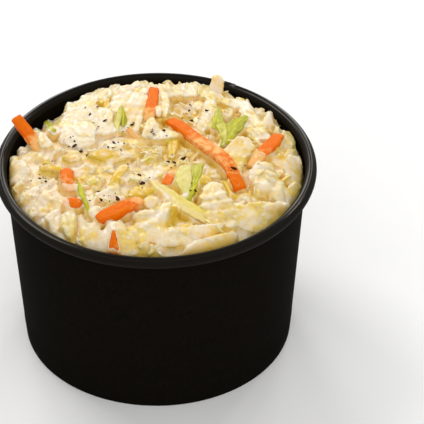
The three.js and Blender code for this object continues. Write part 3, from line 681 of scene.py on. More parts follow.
def fine_grid(grid):
    """Points between the points of a surface grid, close enough for the pile's cells."""
    parts = np.linspace(0, 1, 4)
    a, b, c, d = grid[:-1, :-1], grid[1:, :-1], grid[:-1, 1:], grid[1:, 1:]
    mixed = [
        a * ((1 - s) * (1 - t)) + b * (s * (1 - t)) + c * ((1 - s) * t) + d * (s * t)
        for s in parts
        for t in parts
    ]
    return np.stack(mixed).reshape(-1, grid.shape[-1]).T


class Pile:
    """The height of all that lies in the tub so far, on a square grid, and what its top is.

    goal is the height that the heap is to have. tint, bare and warm say what lies on top: its
    colour, how free of dressing it is and whether it is carrot. kept marks places that later pieces
    are laid round, and cover is the height once the dressing is on.
    """

    KEPT_WEIGHT = 20
    NEIGHBOURS = np.array(
        [(0, 0), (1, 0), (-1, 0), (0, 1), (0, -1), (0.7, 0.7), (-0.7, 0.7), (0.7, -0.7), (-0.7, -0.7)]
    )

    def __init__(self, surfaces):
        lumpy = np.clip((LUMPY_RADIUS - np.hypot(GRID_X, GRID_Y)) / LUMPY_FADE, 0, 1)
        self.goal = self.led_to(heap_height(GRID_X, GRID_Y) + LUMPS * lumpy, surfaces)
        self.height = self.goal - UNDER_DEPTH
        self.cover = self.height
        self.tint, self.bare, self.warm, self.kept = np.zeros((4, CELLS, CELLS))

    @staticmethod
    def led_to(goal, surfaces, reach=1.6, under=0.5):
        """A goal led to just under the pieces with a place of their own."""
        low = np.full_like(goal, np.inf)
        for grid in surfaces:
            x, y, z = fine_grid(grid)
            np.minimum.at(low, cells(x, y), z)
        mask = np.isfinite(low)
        near = blurred(mask.astype(float), reach)
        level = blurred(np.where(mask, low - under, 0), reach) / np.maximum(near, 1e-6)
        return goal + (level - goal) * np.clip(near * 2, 0, 1)

    def keep(self, x, y):
        self.kept[cells(x, y)] = 1

    def raise_to(self, x, y, z, tint, bare, warm=False):
        """Adds the points of a piece's upper side where they stand higher than the pile."""
        i, j = cells(x, y)
        higher = z > self.height[i, j]
        i, j = i[higher], j[higher]
        self.tint[i, j] = tint
        self.warm[i, j] = warm
        self.bare[i, j] = np.broadcast_to(bare, higher.shape)[higher]
        np.maximum.at(self.height, (i, j), z[higher])

    def hollow_place(self, tries, reach, clear):
        """Of a few random places clear of kept ones, where the pile is furthest below its goal."""
        r = reach * np.sqrt(rng.random(tries))
        angle = rng.random(tries) * TURN
        x = r * np.cos(angle)
        y = r * np.sin(angle)
        u, v = (w[:, None] + ring * clear for w, ring in zip((x, y), self.NEIGHBOURS.T))
        lack = sampled(self.goal, u, v) - sampled(self.height, u, v)
        lack = lack - self.KEPT_WEIGHT * sampled(self.kept, u, v)
        best = int(np.argmax(lack.mean(1)))
        return x[best], y[best]


# ---------------------------------------------------------------- cut pieces


def unit(vectors):
    """The vectors, each made one long."""
    return vectors / np.maximum(np.linalg.norm(vectors, axis=-1, keepdims=True), 1e-9)


def path_length(points):
    return np.linalg.norm(np.diff(points, axis=0), axis=1).sum()


def drape(support, rounds, give):
    """The height of a springy strip over a support: it bridges hollows and sinks into peaks."""
    z = support.copy()
    for _ in range(rounds):
        padded = np.concatenate([2 * z[:1] - z[1:2], z, 2 * z[-1:] - z[-2:-1]])
        z = np.maximum((padded[:-2] + padded[1:-1] + padded[2:]) / 3, support - give)
    return z


def wavelets(t, count, rounds):
    """A smooth random wave along t, about -1 to 1."""
    wave = np.zeros_like(t)
    for k in range(1, count + 1):
        wave += np.sin(k * rounds * t + rng.random() * TURN) / count
    return wave


def smooth_path(corners, steps):
    """Even points along a Catmull-Rom curve through the corners."""
    c = np.asarray(corners, float)
    c = np.vstack([2 * c[0] - c[1], c, 2 * c[-1] - c[-2]])
    t = np.linspace(0, 1, 12, endpoint=False)[:, None]
    points = []
    for a, b, d, e in zip(c, c[1:], c[2:], c[3:]):
        square = (2 * a - 5 * b + 4 * d - e) * t**2
        cube = (3 * b - a - 3 * d + e) * t**3
        points.append(0.5 * (2 * b + (d - a) * t + square + cube))
    points = np.vstack([*points, c[-2:-1]])
    run = np.concatenate([[0], np.cumsum(np.linalg.norm(np.diff(points, axis=0), axis=1))])
    even = np.linspace(0, run[-1], steps)
    return np.stack([np.interp(even, run, row) for row in points.T], -1)


def sweep(batch, pile, centre, roll, piece, cut, tint, bare=0.0, free=False):
    """Adds a strip along centre points: its section is a rounded rectangle, its edges ragged.

    A free strip isn't ground for later pieces. A strip wholly bare is carrot, and is kept in sight.
    """
    n = len(centre)
    around, ragged = cut["around"], cut["ragged"]
    t = np.linspace(-1, 1, n)
    along = unit(np.gradient(centre, axis=0))
    flat = unit(np.stack([along[:, 1], -along[:, 0], np.zeros(n)], -1))
    up = np.cross(flat, along)
    side = flat * np.cos(roll)[:, None] + up * np.sin(roll)[:, None]
    up = np.cross(side, along)
    half_w = piece.width / 2 * (1 - piece.taper * t**4)
    half_d = piece.depth / 2 * (1 - 0.5 * piece.taper * t**4)
    left, right = (1 + ragged * wavelets(t, 4, 1.7 * max(2, n / 5)) for _ in range(2))
    angle = np.linspace(0, TURN, around, endpoint=False) + np.pi / around
    v, h = (np.sign(w) * np.abs(w) ** cut["square"] for w in (np.cos(angle), np.sin(angle)))
    wide = np.where(v > 0, right[:, None], left[:, None]) * half_w[:, None] * v
    tall = half_d[:, None] * h * (1 + 0.25 * ragged * wavelets(t, 3, 4)[:, None])
    cup = rng.uniform(-0.12, 0.22) * v**2 * half_w[:, None]
    body = centre[:, None] + side[:, None] * wide[..., None] + up[:, None] * (tall + cup)[..., None]
    # rounded ends: a smaller ring a little way out, then a pole
    ends = []
    for end, way in ((0, -1), (-1, 1)):
        out = way * along[end] * cut["round_end"] * piece.depth
        ring = (body[end] - centre[end]) * cut["end_share"] + (centre[end] + out)
        ends.append((ring, ring.mean(0) + out * 0.3))
    (first, start), (last, finish) = ends
    points = keep_in_tub(np.vstack([first, body.reshape(-1, 3), last, start, finish]))
    length = path_length(centre)
    span = np.repeat(np.concatenate([[-1.02], t, [1.02]]), around) * length / 2
    across = np.tile(v, n + 2) * piece.width / 2
    grain = grain_marks(np.append(span, [-length / 2, length / 2]), np.append(across, [0, 0]))
    coats = np.interp(grain[:, 0], np.linspace(-length / 2, length / 2, len(piece.coat)), piece.coat)
    batch.add(points, tube_faces(n + 2, around), look_marks(tint, coats), grain)
    if free:
        return
    # the strip's upper face becomes the ground for what comes later
    fine = np.linspace(-1, 1, max(4, int(length / 0.2)))
    rows = np.column_stack([centre, side, half_w, half_d]).T
    cx, cy, cz, sx, sy, sz, hw, hd = (np.interp(fine, t, row) for row in rows)
    coated = np.interp(fine, np.linspace(-1, 1, len(piece.coat)), piece.coat)
    shown = bare * np.clip(1.2 - coated, -0.3, 1)
    for offset in np.linspace(-0.95, 0.95, max(3, int(piece.width / 0.22))):
        x = cx + sx * hw * offset
        y = cy + sy * hw * offset
        z = cz + sz * hw * offset + hd * (1 - offset**4) * 0.95
        pile.raise_to(x, y, z, tint, shown, bare == 1)
        if bare == 1 and abs(offset) < 0.8:
            pile.keep(x, y)


def settle(pile, plan, piece, rounds, lean=0.75):
    """Lays a path in plan on the pile: the centre line's points and its roll."""
    flat = unit(np.gradient(plan, axis=0))[:, ::-1] * (1, -1)
    plan = plan * drawn_in(plan, INNER_EDGE - 0.7 - 0.35 * piece.width)
    offsets = np.array([-0.75, -0.35, 0, 0.35, 0.75]) * piece.width / 2
    u = plan[:, :1] + flat[:, :1] * offsets
    v = plan[:, 1:] + flat[:, 1:] * offsets
    ground = sampled(pile.height, u, v)
    support = 0.5 * ground.mean(1) + 0.5 * ground.max(1)
    z = drape(support, rounds, piece.sink) + piece.depth / 2 - 0.5 * piece.sink
    roll = np.arctan2(ground[:, 3:].mean(1) - ground[:, :2].mean(1), 0.55 * piece.width)
    roll = np.clip(drape(roll, 3, 9), -0.7, 0.7) * lean
    return np.column_stack([plan, z]), roll


def winding(x, y, angle, length):
    """A path in plan round a place, from its direction at each point."""
    step = length / (len(angle) - 1)
    plan = np.cumsum(np.stack([np.cos(angle), np.sin(angle)], -1) * step, axis=0)
    return plan + (np.array([x, y]) - plan.mean(0))


def lay_shred(batch, pile, x, y, piece, length, bend, tint):
    """A long shred laid on the pile; near the wall it turns to run along it."""
    t = np.linspace(-1, 1, max(4, int(length / 1.15)) + 1)
    heading = rng.random() * np.pi
    near_wall = np.clip((np.hypot(x, y) + 0.35 * length - INNER_EDGE) / 4, 0, 1)
    round_wall = math.atan2(y, x) + np.pi / 2
    turn = heading + near_wall * (((round_wall - heading + np.pi / 2) % np.pi) - np.pi / 2)
    plan = winding(x, y, turn + bend * t + 0.25 * wavelets(t, 2, 2.5), length)
    centre, roll = settle(pile, plan, piece, rounds=6)
    lift = rng.random(2) ** 3 * 0.9
    centre[:, 2] += np.where(t < 0, lift[0], lift[1]) * np.abs(t) ** 3
    roll = roll + 0.3 * wavelets(t, 2, 1.5)
    piece.taper = rng.uniform(0.15, 0.5)
    sweep(batch, pile, centre, roll, piece, SHRED_CUT, tint, bare=0.2)


def lay_bit(batch, pile, x, y, piece, length, tint):
    """A short crumb of cabbage."""
    t = np.linspace(-1, 1, 3 if length < 3.2 else 4)
    plan = winding(x, y, rng.random() * np.pi + rng.uniform(-0.4, 0.4) * t, length)
    centre, roll = settle(pile, plan, piece, rounds=2)
    centre[:, 2] += rng.uniform(-0.35, 0.35) * t * length / 2 * 0.6
    roll = roll + rng.uniform(-0.6, 0.6)
    sweep(batch, pile, centre, roll, piece, BIT_CUT, tint, bare=0.2)


def lay_strip(batch, pile, piece, cut, tint, bare=0.0, free=False):
    """A strip with a place of its own: laid on the pile, or free, just where its points are."""
    steps = max(6, len(piece.path) * 4)
    centre = smooth_path(piece.path, steps)
    roll = np.zeros(steps)
    if not free:
        centre, roll = settle(pile, centre, piece, rounds=60, lean=0.2)
        # a stretch under dressing lies deeper
        coats = np.interp(np.linspace(0, 1, steps), np.linspace(0, 1, len(piece.coat)), piece.coat)
        centre[:, 2] -= 3.4 * np.clip(coats - 0.7, 0, 0.5)
    sweep(batch, pile, centre, roll, piece, cut, tint, bare, free)


def leaf_grid(nu, nv):
    """Places across a leaf, -1 to 1 each way."""
    return np.meshgrid(np.linspace(-1, 1, nu), np.linspace(-1, 1, nv), indexing="ij")


def add_leaf(batch, grid, thickness, along, across, length, coat, tint):
    """Adds a closed leaf round its middle surface, thinner at its edge.

    Returns its upper side and how coated that is, over the grid.
    """
    nu, nv = grid.shape[:2]
    u, v = leaf_grid(nu, nv)
    out = np.maximum(np.abs(u), np.abs(v))[..., None]
    normal = unit(np.cross(np.gradient(grid, axis=0), np.gradient(grid, axis=1)))
    half = normal * np.sign(normal[..., 2:].mean()) * (thickness / 2 * (1 - 0.5 * out**4))
    upper = keep_in_tub((grid + half).reshape(-1, 3))
    lower = keep_in_tub((grid - half).reshape(-1, 3))
    upward = np.cross(grid[-1, 0] - grid[0, 0], grid[0, -1] - grid[0, 0])[2] > 0
    points = np.vstack([upper, lower] if upward else [lower, upper])
    grain = grain_marks(np.tile(along, 2), np.tile(across, 2))
    coats = np.interp(grain[:, 0], [-length / 2, length / 2], coat)
    batch.add(points, leaf_faces(nu, nv), look_marks(tint, coats), grain)
    return np.column_stack([upper, coats[: nu * nv]]).reshape(nu, nv, 4)


def lay_leaf(
    batch, pile, x, y, *, length, width, thickness, tint, coat, tilt, pitch, rounding, curl, bare,
    bend=0.0, jitter=0.12, ragged=0.07, ruffle=0.12, rib=0.0, rib_pitch=2.2, conform=0.35, sink=0.35,
    cell=0.85,
):
    """A flat cut piece of leaf or core laid on the pile.

    It follows the ground's slope, tilted about its length and pitched about its width, then sinks a
    little and conforms in part to what lies under it.
    """
    nu, nv = (max(4, int(round(size / cell)) + 1) for size in (length, width))
    u, v = (w.ravel() for w in leaf_grid(nu, nv))
    out = np.maximum(np.abs(u), np.abs(v))
    turn = np.arctan2(v, u)
    corner = rng.uniform(-jitter, jitter, 4) * 2
    p = u * np.sqrt(1 - rounding * v**2 / 2)
    q = v * np.sqrt(1 - rounding * u**2 / 2)
    p = p + corner[0] * v * (1 + u) / 2 + corner[1] * v * (1 - u) / 2
    q = q + corner[2] * u * (1 + v) / 2 + corner[3] * u * (1 - v) / 2
    edge_wave = 1 + ragged * (wavelets(turn, 5, 1) + 0.7 * wavelets(turn, 3, 6)) * out**3
    p = p * edge_wave * length / 2
    q = q * edge_wave * width / 2
    rise = curl * (q / (width / 2)) ** 2 * width / 8 + bend * (p / (length / 2)) ** 2 * length / 8
    crinkle = np.sin(3 * turn + rng.random() * 7) + 0.7 * np.sin(5 * turn + rng.random() * 7)
    rise = rise + ruffle * out**3 * crinkle + rib * np.sin(q * TURN / rib_pitch + rng.random())
    heading = rng.random() * TURN
    across = q * math.cos(tilt) - rise * math.sin(tilt)
    height = q * math.sin(tilt) + rise * math.cos(tilt)
    along = p * math.cos(pitch) - height * math.sin(pitch)
    height = p * math.sin(pitch) + height * math.cos(pitch)
    c, s = math.cos(heading), math.sin(heading)
    plan = np.stack([x + c * along - s * across, y + s * along + c * across], -1)
    px, py = (plan * drawn_in(plan, INNER_EDGE - 0.5)).T
    ground = sampled(pile.height, px, py)
    # the ground's slope, and then how far the piece may come down on it
    terms = np.stack([np.ones_like(px), px - x, py - y], -1)
    fit, *_ = np.linalg.lstsq(terms, ground, rcond=None)
    slope = fit[1:] * min(1, 0.7 / max(1e-6, math.hypot(fit[1], fit[2])))
    height = height + terms[:, 1:] @ slope
    over = ground - (height - thickness / 2)
    rest = np.percentile(over, 80)
    height = height + rest - sink + conform * np.clip(over - rest, -1.6, 1.0)
    grid = np.stack([px, py, height], -1).reshape(nu, nv, 3)
    px, py, pz, _ = fine_grid(add_leaf(batch, grid, thickness, p, q, length, coat, tint))
    pile.raise_to(px, py, pz, tint, bare)


def patch_surface(form, raised=0.0, dimples=0.08, torn=0.4, cell=0.5):
    """The middle surface of a piece spread between its two edges."""
    left, right = (
        np.array([seen_at(px, py, lift + raised) for px, py, lift in edge])
        for edge in (form.left, form.right)
    )
    length = path_length(left)
    width = np.linalg.norm(left.mean(0) - right.mean(0))
    nu, nv = (max(5, int(size / cell) + 2) for size in (length, width))
    t = np.linspace(-1, 1, nu)
    u = t[:, None, None]
    v = np.linspace(-1, 1, nv)[None, :, None]
    left, right = (smooth_path(edge, nu)[:, None] for edge in (left, right))
    grid = left * (1 - v) / 2 + right * (1 + v) / 2
    along = unit(np.gradient((left + right) / 2, axis=0))
    # ragged sides with small tears, torn and rounded ends
    ragged = form.ragged * width
    torn = min(torn, 0.06 * width)
    waves = [ragged * wavelets(t, 5, 3) + torn * wavelets(t, 3, length * 0.9) for _ in range(2)]
    sides = np.where(v < 0, waves[0][:, None, None], waves[1][:, None, None])
    grid = grid + unit(right - left) * sides * np.abs(v) ** 3
    grid = grid + along * torn * wavelets(v, 3, width * 0.9) * np.abs(u) ** 3
    round_end = form.bulge * width * (1 - v**2) * np.clip((np.abs(u) - 0.5) / 0.5, 0, 1) ** 2
    grid = grid + along * np.sign(u) * round_end
    # the crown across it, long waves, and fine dimples in four directions
    rise = form.crown * (1 - v**2) * (1 - u**4)
    rise = rise + form.waves * np.sin(u * length * 0.9 + v * 2.2 + rng.random() * 6)
    rise = rise + 0.12 * wavelets(t, 4, 4)[:, None, None] * (0.4 + 0.6 * v**2)
    if form.tint > SOAKED_TINT:
        dimples = 0.03
    for _ in range(4):
        heading = rng.random() * TURN
        travel = grid[..., 0] * np.cos(heading) + grid[..., 1] * np.sin(heading)
        wave = np.sin(travel * TURN / rng.uniform(1.6, 4) + rng.random() * 6)
        rise = rise + dimples * wave[..., None]
    grid[..., 2] += rise[..., 0]
    return grid


def lay_patch(batch, pile, form, grid, thickness, bare, warm=False):
    """Thickens a surface into a closed piece, lays it on the pile and keeps it in sight."""
    nu, nv = grid.shape[:2]
    length = path_length(grid[:, nv // 2])
    width = np.linalg.norm(grid[nu // 2, 0] - grid[nu // 2, -1])
    u, v = (w.ravel() for w in leaf_grid(nu, nv))
    x, y, _ = grid.reshape(-1, 3).mean(0)
    coat = (0.85 - 0.4 * coarseness(x, y)) * form.coat
    shown = add_leaf(batch, grid, thickness, u * length / 2, v * width / 2, length, coat, form.tint)
    x, y, z, coated = fine_grid(shown)
    pile.raise_to(x, y, z, form.tint, bare * np.clip(1.15 - coated, 0, 1), warm)
    if not form.busy:
        inner = keep_in_tub(grid[1:-1, 1:-1].reshape(-1, 3)).reshape(nu - 2, nv - 2, 3)
        x, y, _ = fine_grid(inner)
        pile.keep(x, y)


# ---------------------------------------------------------------- laying the heap


def coarseness(x, y):
    """0 where the slaw is cut fine, at the left and back, to 1 at the front right."""
    return float(np.clip(0.5 + 0.012 * (x - 0.7 * y), 0, 1))


def cabbage_tint():
    """Mostly cream white; some pieces are pale green-yellow, a few thin and golden."""
    draw = rng.random()
    if draw < 0.72:
        return rng.uniform(0.0, 0.3)
    if draw < 0.95:
        return rng.uniform(0.35, 0.6)
    return rng.uniform(0.75, 1.0)


def hollows(pile, count, tries, reach, clear):
    """Places for new pieces, one after another, and how coarse the slaw is there."""
    for _ in range(count):
        x, y = pile.hollow_place(tries, reach, clear)
        yield x, y, coarseness(x, y)


def scatter_bits(batch, pile, count, tries=6, small=1.0):
    for x, y, coarse in hollows(pile, count, tries, 44.2, 2.2):
        size = (0.65 + 0.55 * coarse) * small
        length, width, depth = (rng.uniform(*span) * size for span in ((2.2, 5), (1, 2), (0.7, 1.1)))
        tint = cabbage_tint()
        piece = strip(width=width, depth=depth, coat=rng.random(2), taper=0.35, sink=0.3)
        lay_bit(batch, pile, x, y, piece, length, tint)


def scatter_chips(batch, pile, count, tries=6, small=1.0):
    """Small thick cut pieces, lying at all tilts."""
    for x, y, coarse in hollows(pile, count, tries, 44.2, 2.6):
        size = (0.65 + 0.65 * coarse) * small
        long = rng.uniform(2.4, 5.6) * size
        lay_leaf(
            batch, pile, x, y,
            length=long, width=long * rng.uniform(0.35, 0.9), thickness=rng.uniform(0.5, 0.9),
            tint=cabbage_tint(), coat=rng.random(2), tilt=rng.normal(0, 0.4), pitch=rng.normal(0, 0.3),
            rounding=rng.uniform(0, 0.4), curl=rng.uniform(-1.2, 0.8), bare=0.1,
            jitter=0.22, conform=0.2, cell=1.1 * size,
        )


def scatter_shreds(batch, pile, count, tries=6):
    for x, y, coarse in hollows(pile, count, tries, 43.5, 3):
        size = 0.75 + 0.45 * coarse
        length, width = (rng.uniform(*span) * size for span in ((6, 14), (1.2, 2.6)))
        depth = rng.uniform(0.6, 1.1)
        bend = rng.uniform(-0.7, 0.7)
        tint = cabbage_tint()
        piece = strip(width=width, depth=depth, coat=rng.random(2), sink=0.35)
        lay_shred(batch, pile, x, y, piece, length, bend, tint)


def scatter_leaves(batch, pile, count, tries=6):
    for x, y, coarse in hollows(pile, count, tries, 42, 3.5):
        long = rng.uniform(7, 13) * (0.55 + 0.65 * coarse)
        lay_leaf(
            batch, pile, x, y,
            length=long, width=long * rng.uniform(0.5, 0.9), thickness=rng.uniform(0.5, 0.9),
            tint=cabbage_tint(), coat=rng.random(2), tilt=rng.normal(0, 0.28), pitch=rng.normal(0, 0.22),
            rounding=rng.uniform(0, 0.6), curl=rng.uniform(-1.4, 0.6), bare=0.2,
            bend=rng.uniform(-1, 0.5), ragged=0.09, rib=rng.uniform(0.04, 0.22),
            rib_pitch=rng.uniform(1.4, 2.6),
        )


def lay_heap():
    """Lays all the cut pieces, bottom first: the pile, and a batch of each kind of piece."""
    bits, chips, shreds, leaves, carrots, greens = (Batch() for _ in range(6))
    cabbage_grids = [patch_surface(form) for form in CABBAGE_PATCHES]
    green_grids = [patch_surface(form, raised=0.15, dimples=0.02, torn=0.2) for form in GREEN_PATCHES]
    carrot_grids = [patch_surface(form, raised=0.3, dimples=0.03, torn=0.15) for form in CARROT_PATCHES]
    pile = Pile(cabbage_grids + green_grids + carrot_grids)
    scatter_leaves(leaves, pile, UNDER["leaves"])
    scatter_chips(chips, pile, UNDER["chips"])
    scatter_shreds(shreds, pile, UNDER["shreds"])
    scatter_bits(bits, pile, UNDER["bits"])
    for form, grid in zip(CABBAGE_PATCHES, cabbage_grids):
        lay_patch(leaves, pile, form, grid, CABBAGE_THICKNESS, bare=0)
    for piece in CARROTS:
        lay_strip(carrots, pile, piece, CARROT_CUT, CARROT_TINT, bare=1)
    lay_strip(carrots, pile, RIM_CARROT, CARROT_CUT, CARROT_TINT, free=True)
    for form, grid in zip(CARROT_PATCHES, carrot_grids):
        lay_patch(carrots, pile, form, grid, CARROT_THICKNESS, bare=1, warm=True)
    for form, grid in zip(GREEN_PATCHES, green_grids):
        lay_patch(greens, pile, form, grid, GREEN_THICKNESS, bare=0.95)
    lay_strip(shreds, pile, STUB, STUB_CUT, STUB_TINT, free=True)
    # the pieces on top find the deepest hollows that are left
    scatter_leaves(leaves, pile, ON_TOP["leaves"], tries=30)
    scatter_chips(chips, pile, ON_TOP["chips"], tries=30, small=0.8)
    scatter_bits(bits, pile, ON_TOP["bits"], tries=30, small=0.85)
    return pile, (bits, chips, shreds, leaves, carrots, greens)


def film_over(pile):
    """The dressing's level over the grid, the clouds of its film, and where the slaw is cut fine."""
    closed = -spread_max(-spread_max(pile.height, BRIDGE_RADIUS), BRIDGE_RADIUS)
    film = cloudy(FILM_CLOUD)
    fine_cut = np.clip((6 - GRID_X - 0.2 * GRID_Y) / 26, 0, 1)
    grains = (0.06 + 0.1 * fine_cut) * cloudy(0.6)
    # pieces without dressing stand clear of it but for their edges
    clear = blurred(np.clip(spread_max(pile.bare, 1.4), 0, 1), 0.4)
    bare = blurred(pile.bare, 0.5)
    edge = np.clip(5 * np.minimum(bare, 1 - bare) - 1, 0, 1)
    bare = np.where(bare > 0, np.clip(2 * bare - 1, 0, 1), bare)
    level = blurred(closed, 0.4, 1) + grains + 0.14 * film + 0.02 + 0.16 * fine_cut
    level = level - 1.1 * bare + 0.3 * edge
    return np.maximum(level, pile.goal - 0.7 - 1.6 * clear), film, fine_cut


def dressing(pile, material, side=290, rows=5):
    """The dressing: one body that fills the tub and clings over the pieces, thick or thin in patches."""
    level, film, fine_cut = film_over(pile)
    pile.cover = np.maximum(pile.height, level)
    # a square grid eased into a disc, evenly
    u, v = (w.ravel() for w in leaf_grid(side, side))
    x = u * np.sqrt(1 - v**2 / 2) * (INNER_EDGE - FIT_GAP)
    y = v * np.sqrt(1 - u**2 / 2) * (INNER_EDGE - FIT_GAP)
    z = np.minimum(sampled(level, x, y), DRESSING_TOP)
    points = np.stack([x, y, z], -1)
    top, edge = grid_faces(side, side)
    # the wall of the body, down to the base
    floor = BASE_HIGH[2] + FIT_GAP
    way = points[edge, :2] / np.linalg.norm(points[edge, :2], axis=1, keepdims=True)
    faces = [top]
    upper = edge
    for row in range(1, rows + 1):
        z = points[edge, 2] + (floor - points[edge, 2]) * row / rows
        lower = len(points) + np.arange(len(edge))
        points = np.vstack([points, np.column_stack([way * (wall_inner(z) - FIT_GAP)[:, None], z])])
        ahead = np.roll(upper, -1)
        faces.append(np.stack([ahead, upper, lower], -1))
        faces.append(np.stack([ahead, lower, np.roll(lower, -1)], -1))
        upper = lower
    faces.append(fan(len(points), np.roll(upper, -1), upper))
    points = np.vstack([points, [0, 0, floor]])
    made = mesh_piece("slaw_dressing", keep_in_tub(points), np.concatenate(faces), material)
    x, y = points[:, 0], points[:, 1]
    tint = sampled(blurred(pile.tint * (1 - pile.bare), 0.5), x, y)
    thick = 0.5 + 0.3 * sampled(fine_cut, x, y) + 0.6 * sampled(film, x, y) - 0.8 * tint
    warm = sampled(blurred(pile.warm, 1.4), x, y)
    look = look_marks(tint, np.clip(thick, -0.3, 1), warm)
    set_marks(made, look, np.stack([x, y, 0 * x], -1))
    return made


def pepper(pile, material, around=9):
    """Coarse grains where they lie, and dust that was ground round them."""
    batch = Batch()
    angle = np.linspace(0, TURN, around, endpoint=False)
    circle = np.stack([np.cos(angle), np.sin(angle), 0 * angle], -1)
    k = np.arange(around)
    n = (k + 1) % around
    faces = [fan(3 * around, 2 * around + k, 2 * around + n)]
    for low in (around, 0):
        high = low + around
        faces.append(np.stack([high + k, low + k, low + n], -1))
        faces.append(np.stack([high + k, low + n, high + n], -1))
    faces = np.concatenate([*faces, fan(3 * around + 1, n, k)])

    def grain(x, y, size):
        turn = rng.random() * TURN
        scale = size * PEPPER_SIZE * rng.uniform([0.9, 0.6, 0.25], [1.3, 0.95, 0.5])
        jagged = rng.uniform(0.6, 1.2, (around, 1))
        shell = []
        for level, wide in ((-0.8, 0.7), (0, 1.0), (0.7, 0.75)):
            ring = circle * wide * jagged * rng.uniform(0.9, 1.1, (around, 1))
            shell.append(ring + (0, 0, level))
        px, py, pz = (np.vstack([*shell, [0, 0, 1], [0, 0, -1]]) * scale).T
        pz = pz + px * rng.uniform(-0.5, 0.5)
        c, s = math.cos(turn), math.sin(turn)
        ground = float(sampled(pile.cover, np.array([x]), np.array([y]))[0])
        points = np.stack([x + c * px - s * py, y + s * px + c * py, ground + pz + 0.1 * size], -1)
        seed = rng.random()
        look = look_marks(seed, 0 * px, seed)
        batch.add(keep_in_tub(points), faces, look, points)

    for x, y, size in PEPPER:
        grain(x, y, size)
    for _ in range(PEPPER_DUST):
        x, y, _ = PEPPER[rng.integers(len(PEPPER))]
        r = PEPPER_DUST_REACH * rng.random() ** 0.8
        angle = rng.random() * TURN
        grain(x + r * math.cos(angle), y + r * math.sin(angle), rng.uniform(0.25, 0.65))
    made = batch.build("pepper_flakes", material)
    made.data.polygons.foreach_set("use_smooth", np.zeros(len(made.data.polygons), bool))
    return made


def mark_hollow_shade(made, pile):
    """Writes how deep among its neighbours each point of a slaw piece lies into look's third value, which
    paints shade into the hollows.
    """
    count = len(made.data.vertices)
    co = np.empty(count * 3, np.float32)
    made.data.vertices.foreach_get("co", co)
    x, y, z = co.reshape(-1, 3).T / MM
    below_near = sampled(blurred(pile.height, 1.6), x, y) - z
    below_wide = sampled(blurred(pile.height, 4.5), x, y) - z
    inward = np.clip((SPAN - np.hypot(x, y)) / 8, 0.2, 1)
    look = np.empty(count * 4, np.float32)
    layer = made.data.color_attributes["look"]
    layer.data.foreach_get("color", look)
    look[2::4] = np.clip(0.14 + 0.7 * below_near + 0.45 * below_wide * inward, 0, 0.9)
    layer.data.foreach_set("color", look)


# ---------------------------------------------------------------- materials


def srgb(r, g, b):
    """A screen colour, 0 to 255, as linear light."""
    c = np.array([r, g, b]) / 255
    return tuple(np.where(c <= 0.04045, c / 12.92, ((c + 0.055) / 1.055) ** 2.4)) + (1.0,)


class Shader:
    """A short way to write a material's nodes."""

    def __init__(self, name, **values):
        self.material = bpy.data.materials.new(name)
        self.material.use_nodes = True
        self.nodes = self.material.node_tree.nodes
        self.links = self.material.node_tree.links
        self.surface = self.nodes["Principled BSDF"]
        for key, value in values.items():
            self.surface.inputs[key.replace("_", " ")].default_value = value

    def node(self, kind, inputs=(), **settings):
        """A new node; each input is a number, or the output of another node."""
        made = self.nodes.new("ShaderNode" + kind)
        for key, value in settings.items():
            setattr(made, key, value)
        for key, value in dict(inputs).items():
            self.feed(made.inputs[key], value)
        return made

    def feed(self, socket, value):
        if isinstance(value, bpy.types.NodeSocket):
            self.links.new(value, socket)
        else:
            socket.default_value = value

    def show(self, **outputs):
        """Joins outputs to the surface."""
        for key, value in outputs.items():
            self.feed(self.surface.inputs[key.replace("_", " ")], value)

    def noise(self, vector, scale, detail=3.0, rough=0.55):
        inputs = {"Vector": vector, "Scale": scale, "Detail": detail, "Roughness": rough}
        return self.node("TexNoise", inputs).outputs["Fac"]

    def spread(self, value, low, high, out_low=0.0, out_high=1.0):
        inputs = {"Value": value, "From Min": low, "From Max": high, "To Min": out_low, "To Max": out_high}
        return self.node("MapRange", inputs, interpolation_type="SMOOTHSTEP").outputs["Result"]

    def add(self, a, b):
        return self.node("Math", {0: a, 1: b}, operation="ADD").outputs[0]

    def times(self, a, b):
        return self.node("Math", {0: a, 1: b}, operation="MULTIPLY").outputs[0]

    def blend(self, factor, first, second):
        made = self.node("Mix", {"Factor": factor}, data_type="RGBA")
        for key, value in (("A", first), ("B", second)):
            self.feed([s for s in made.inputs if s.name == key and s.type == "RGBA"][0], value)
        return [s for s in made.outputs if s.type == "RGBA"][0]

    def scaled(self, vector, scale):
        return self.node("Mapping", {"Vector": vector, "Scale": scale}).outputs["Vector"]

    def place(self):
        """The object's own place in millimetres."""
        return self.scaled(self.node("TexCoord").outputs["Object"], (1 / MM,) * 3)

    def look(self):
        """The marks that a piece carries: tint, coat, depth, which paints shade into hollows, and warm."""
        mark = self.node("Attribute", attribute_name="look")
        split = self.node("SeparateColor", {"Color": mark.outputs["Color"]})
        tint, coat, depth = (split.outputs[key] for key in ("Red", "Green", "Blue"))
        return SimpleNamespace(tint=tint, coat=coat, depth=depth, warm=mark.outputs["Alpha"])

    def grain(self):
        return self.node("Attribute", attribute_name="grain").outputs["Vector"]

    def part(self, vector, key):
        return self.node("SeparateXYZ", {"Vector": vector}).outputs[key]

    def upward(self):
        """How far the surface faces up, -1 to 1."""
        return self.part(self.node("NewGeometry").outputs["Normal"], "Z")

    def bump(self, height, distance):
        made = self.node("Bump", {"Height": height, "Distance": distance * MM, "Strength": 1.0})
        self.show(Normal=made.outputs["Normal"], Coat_Normal=made.outputs["Normal"])
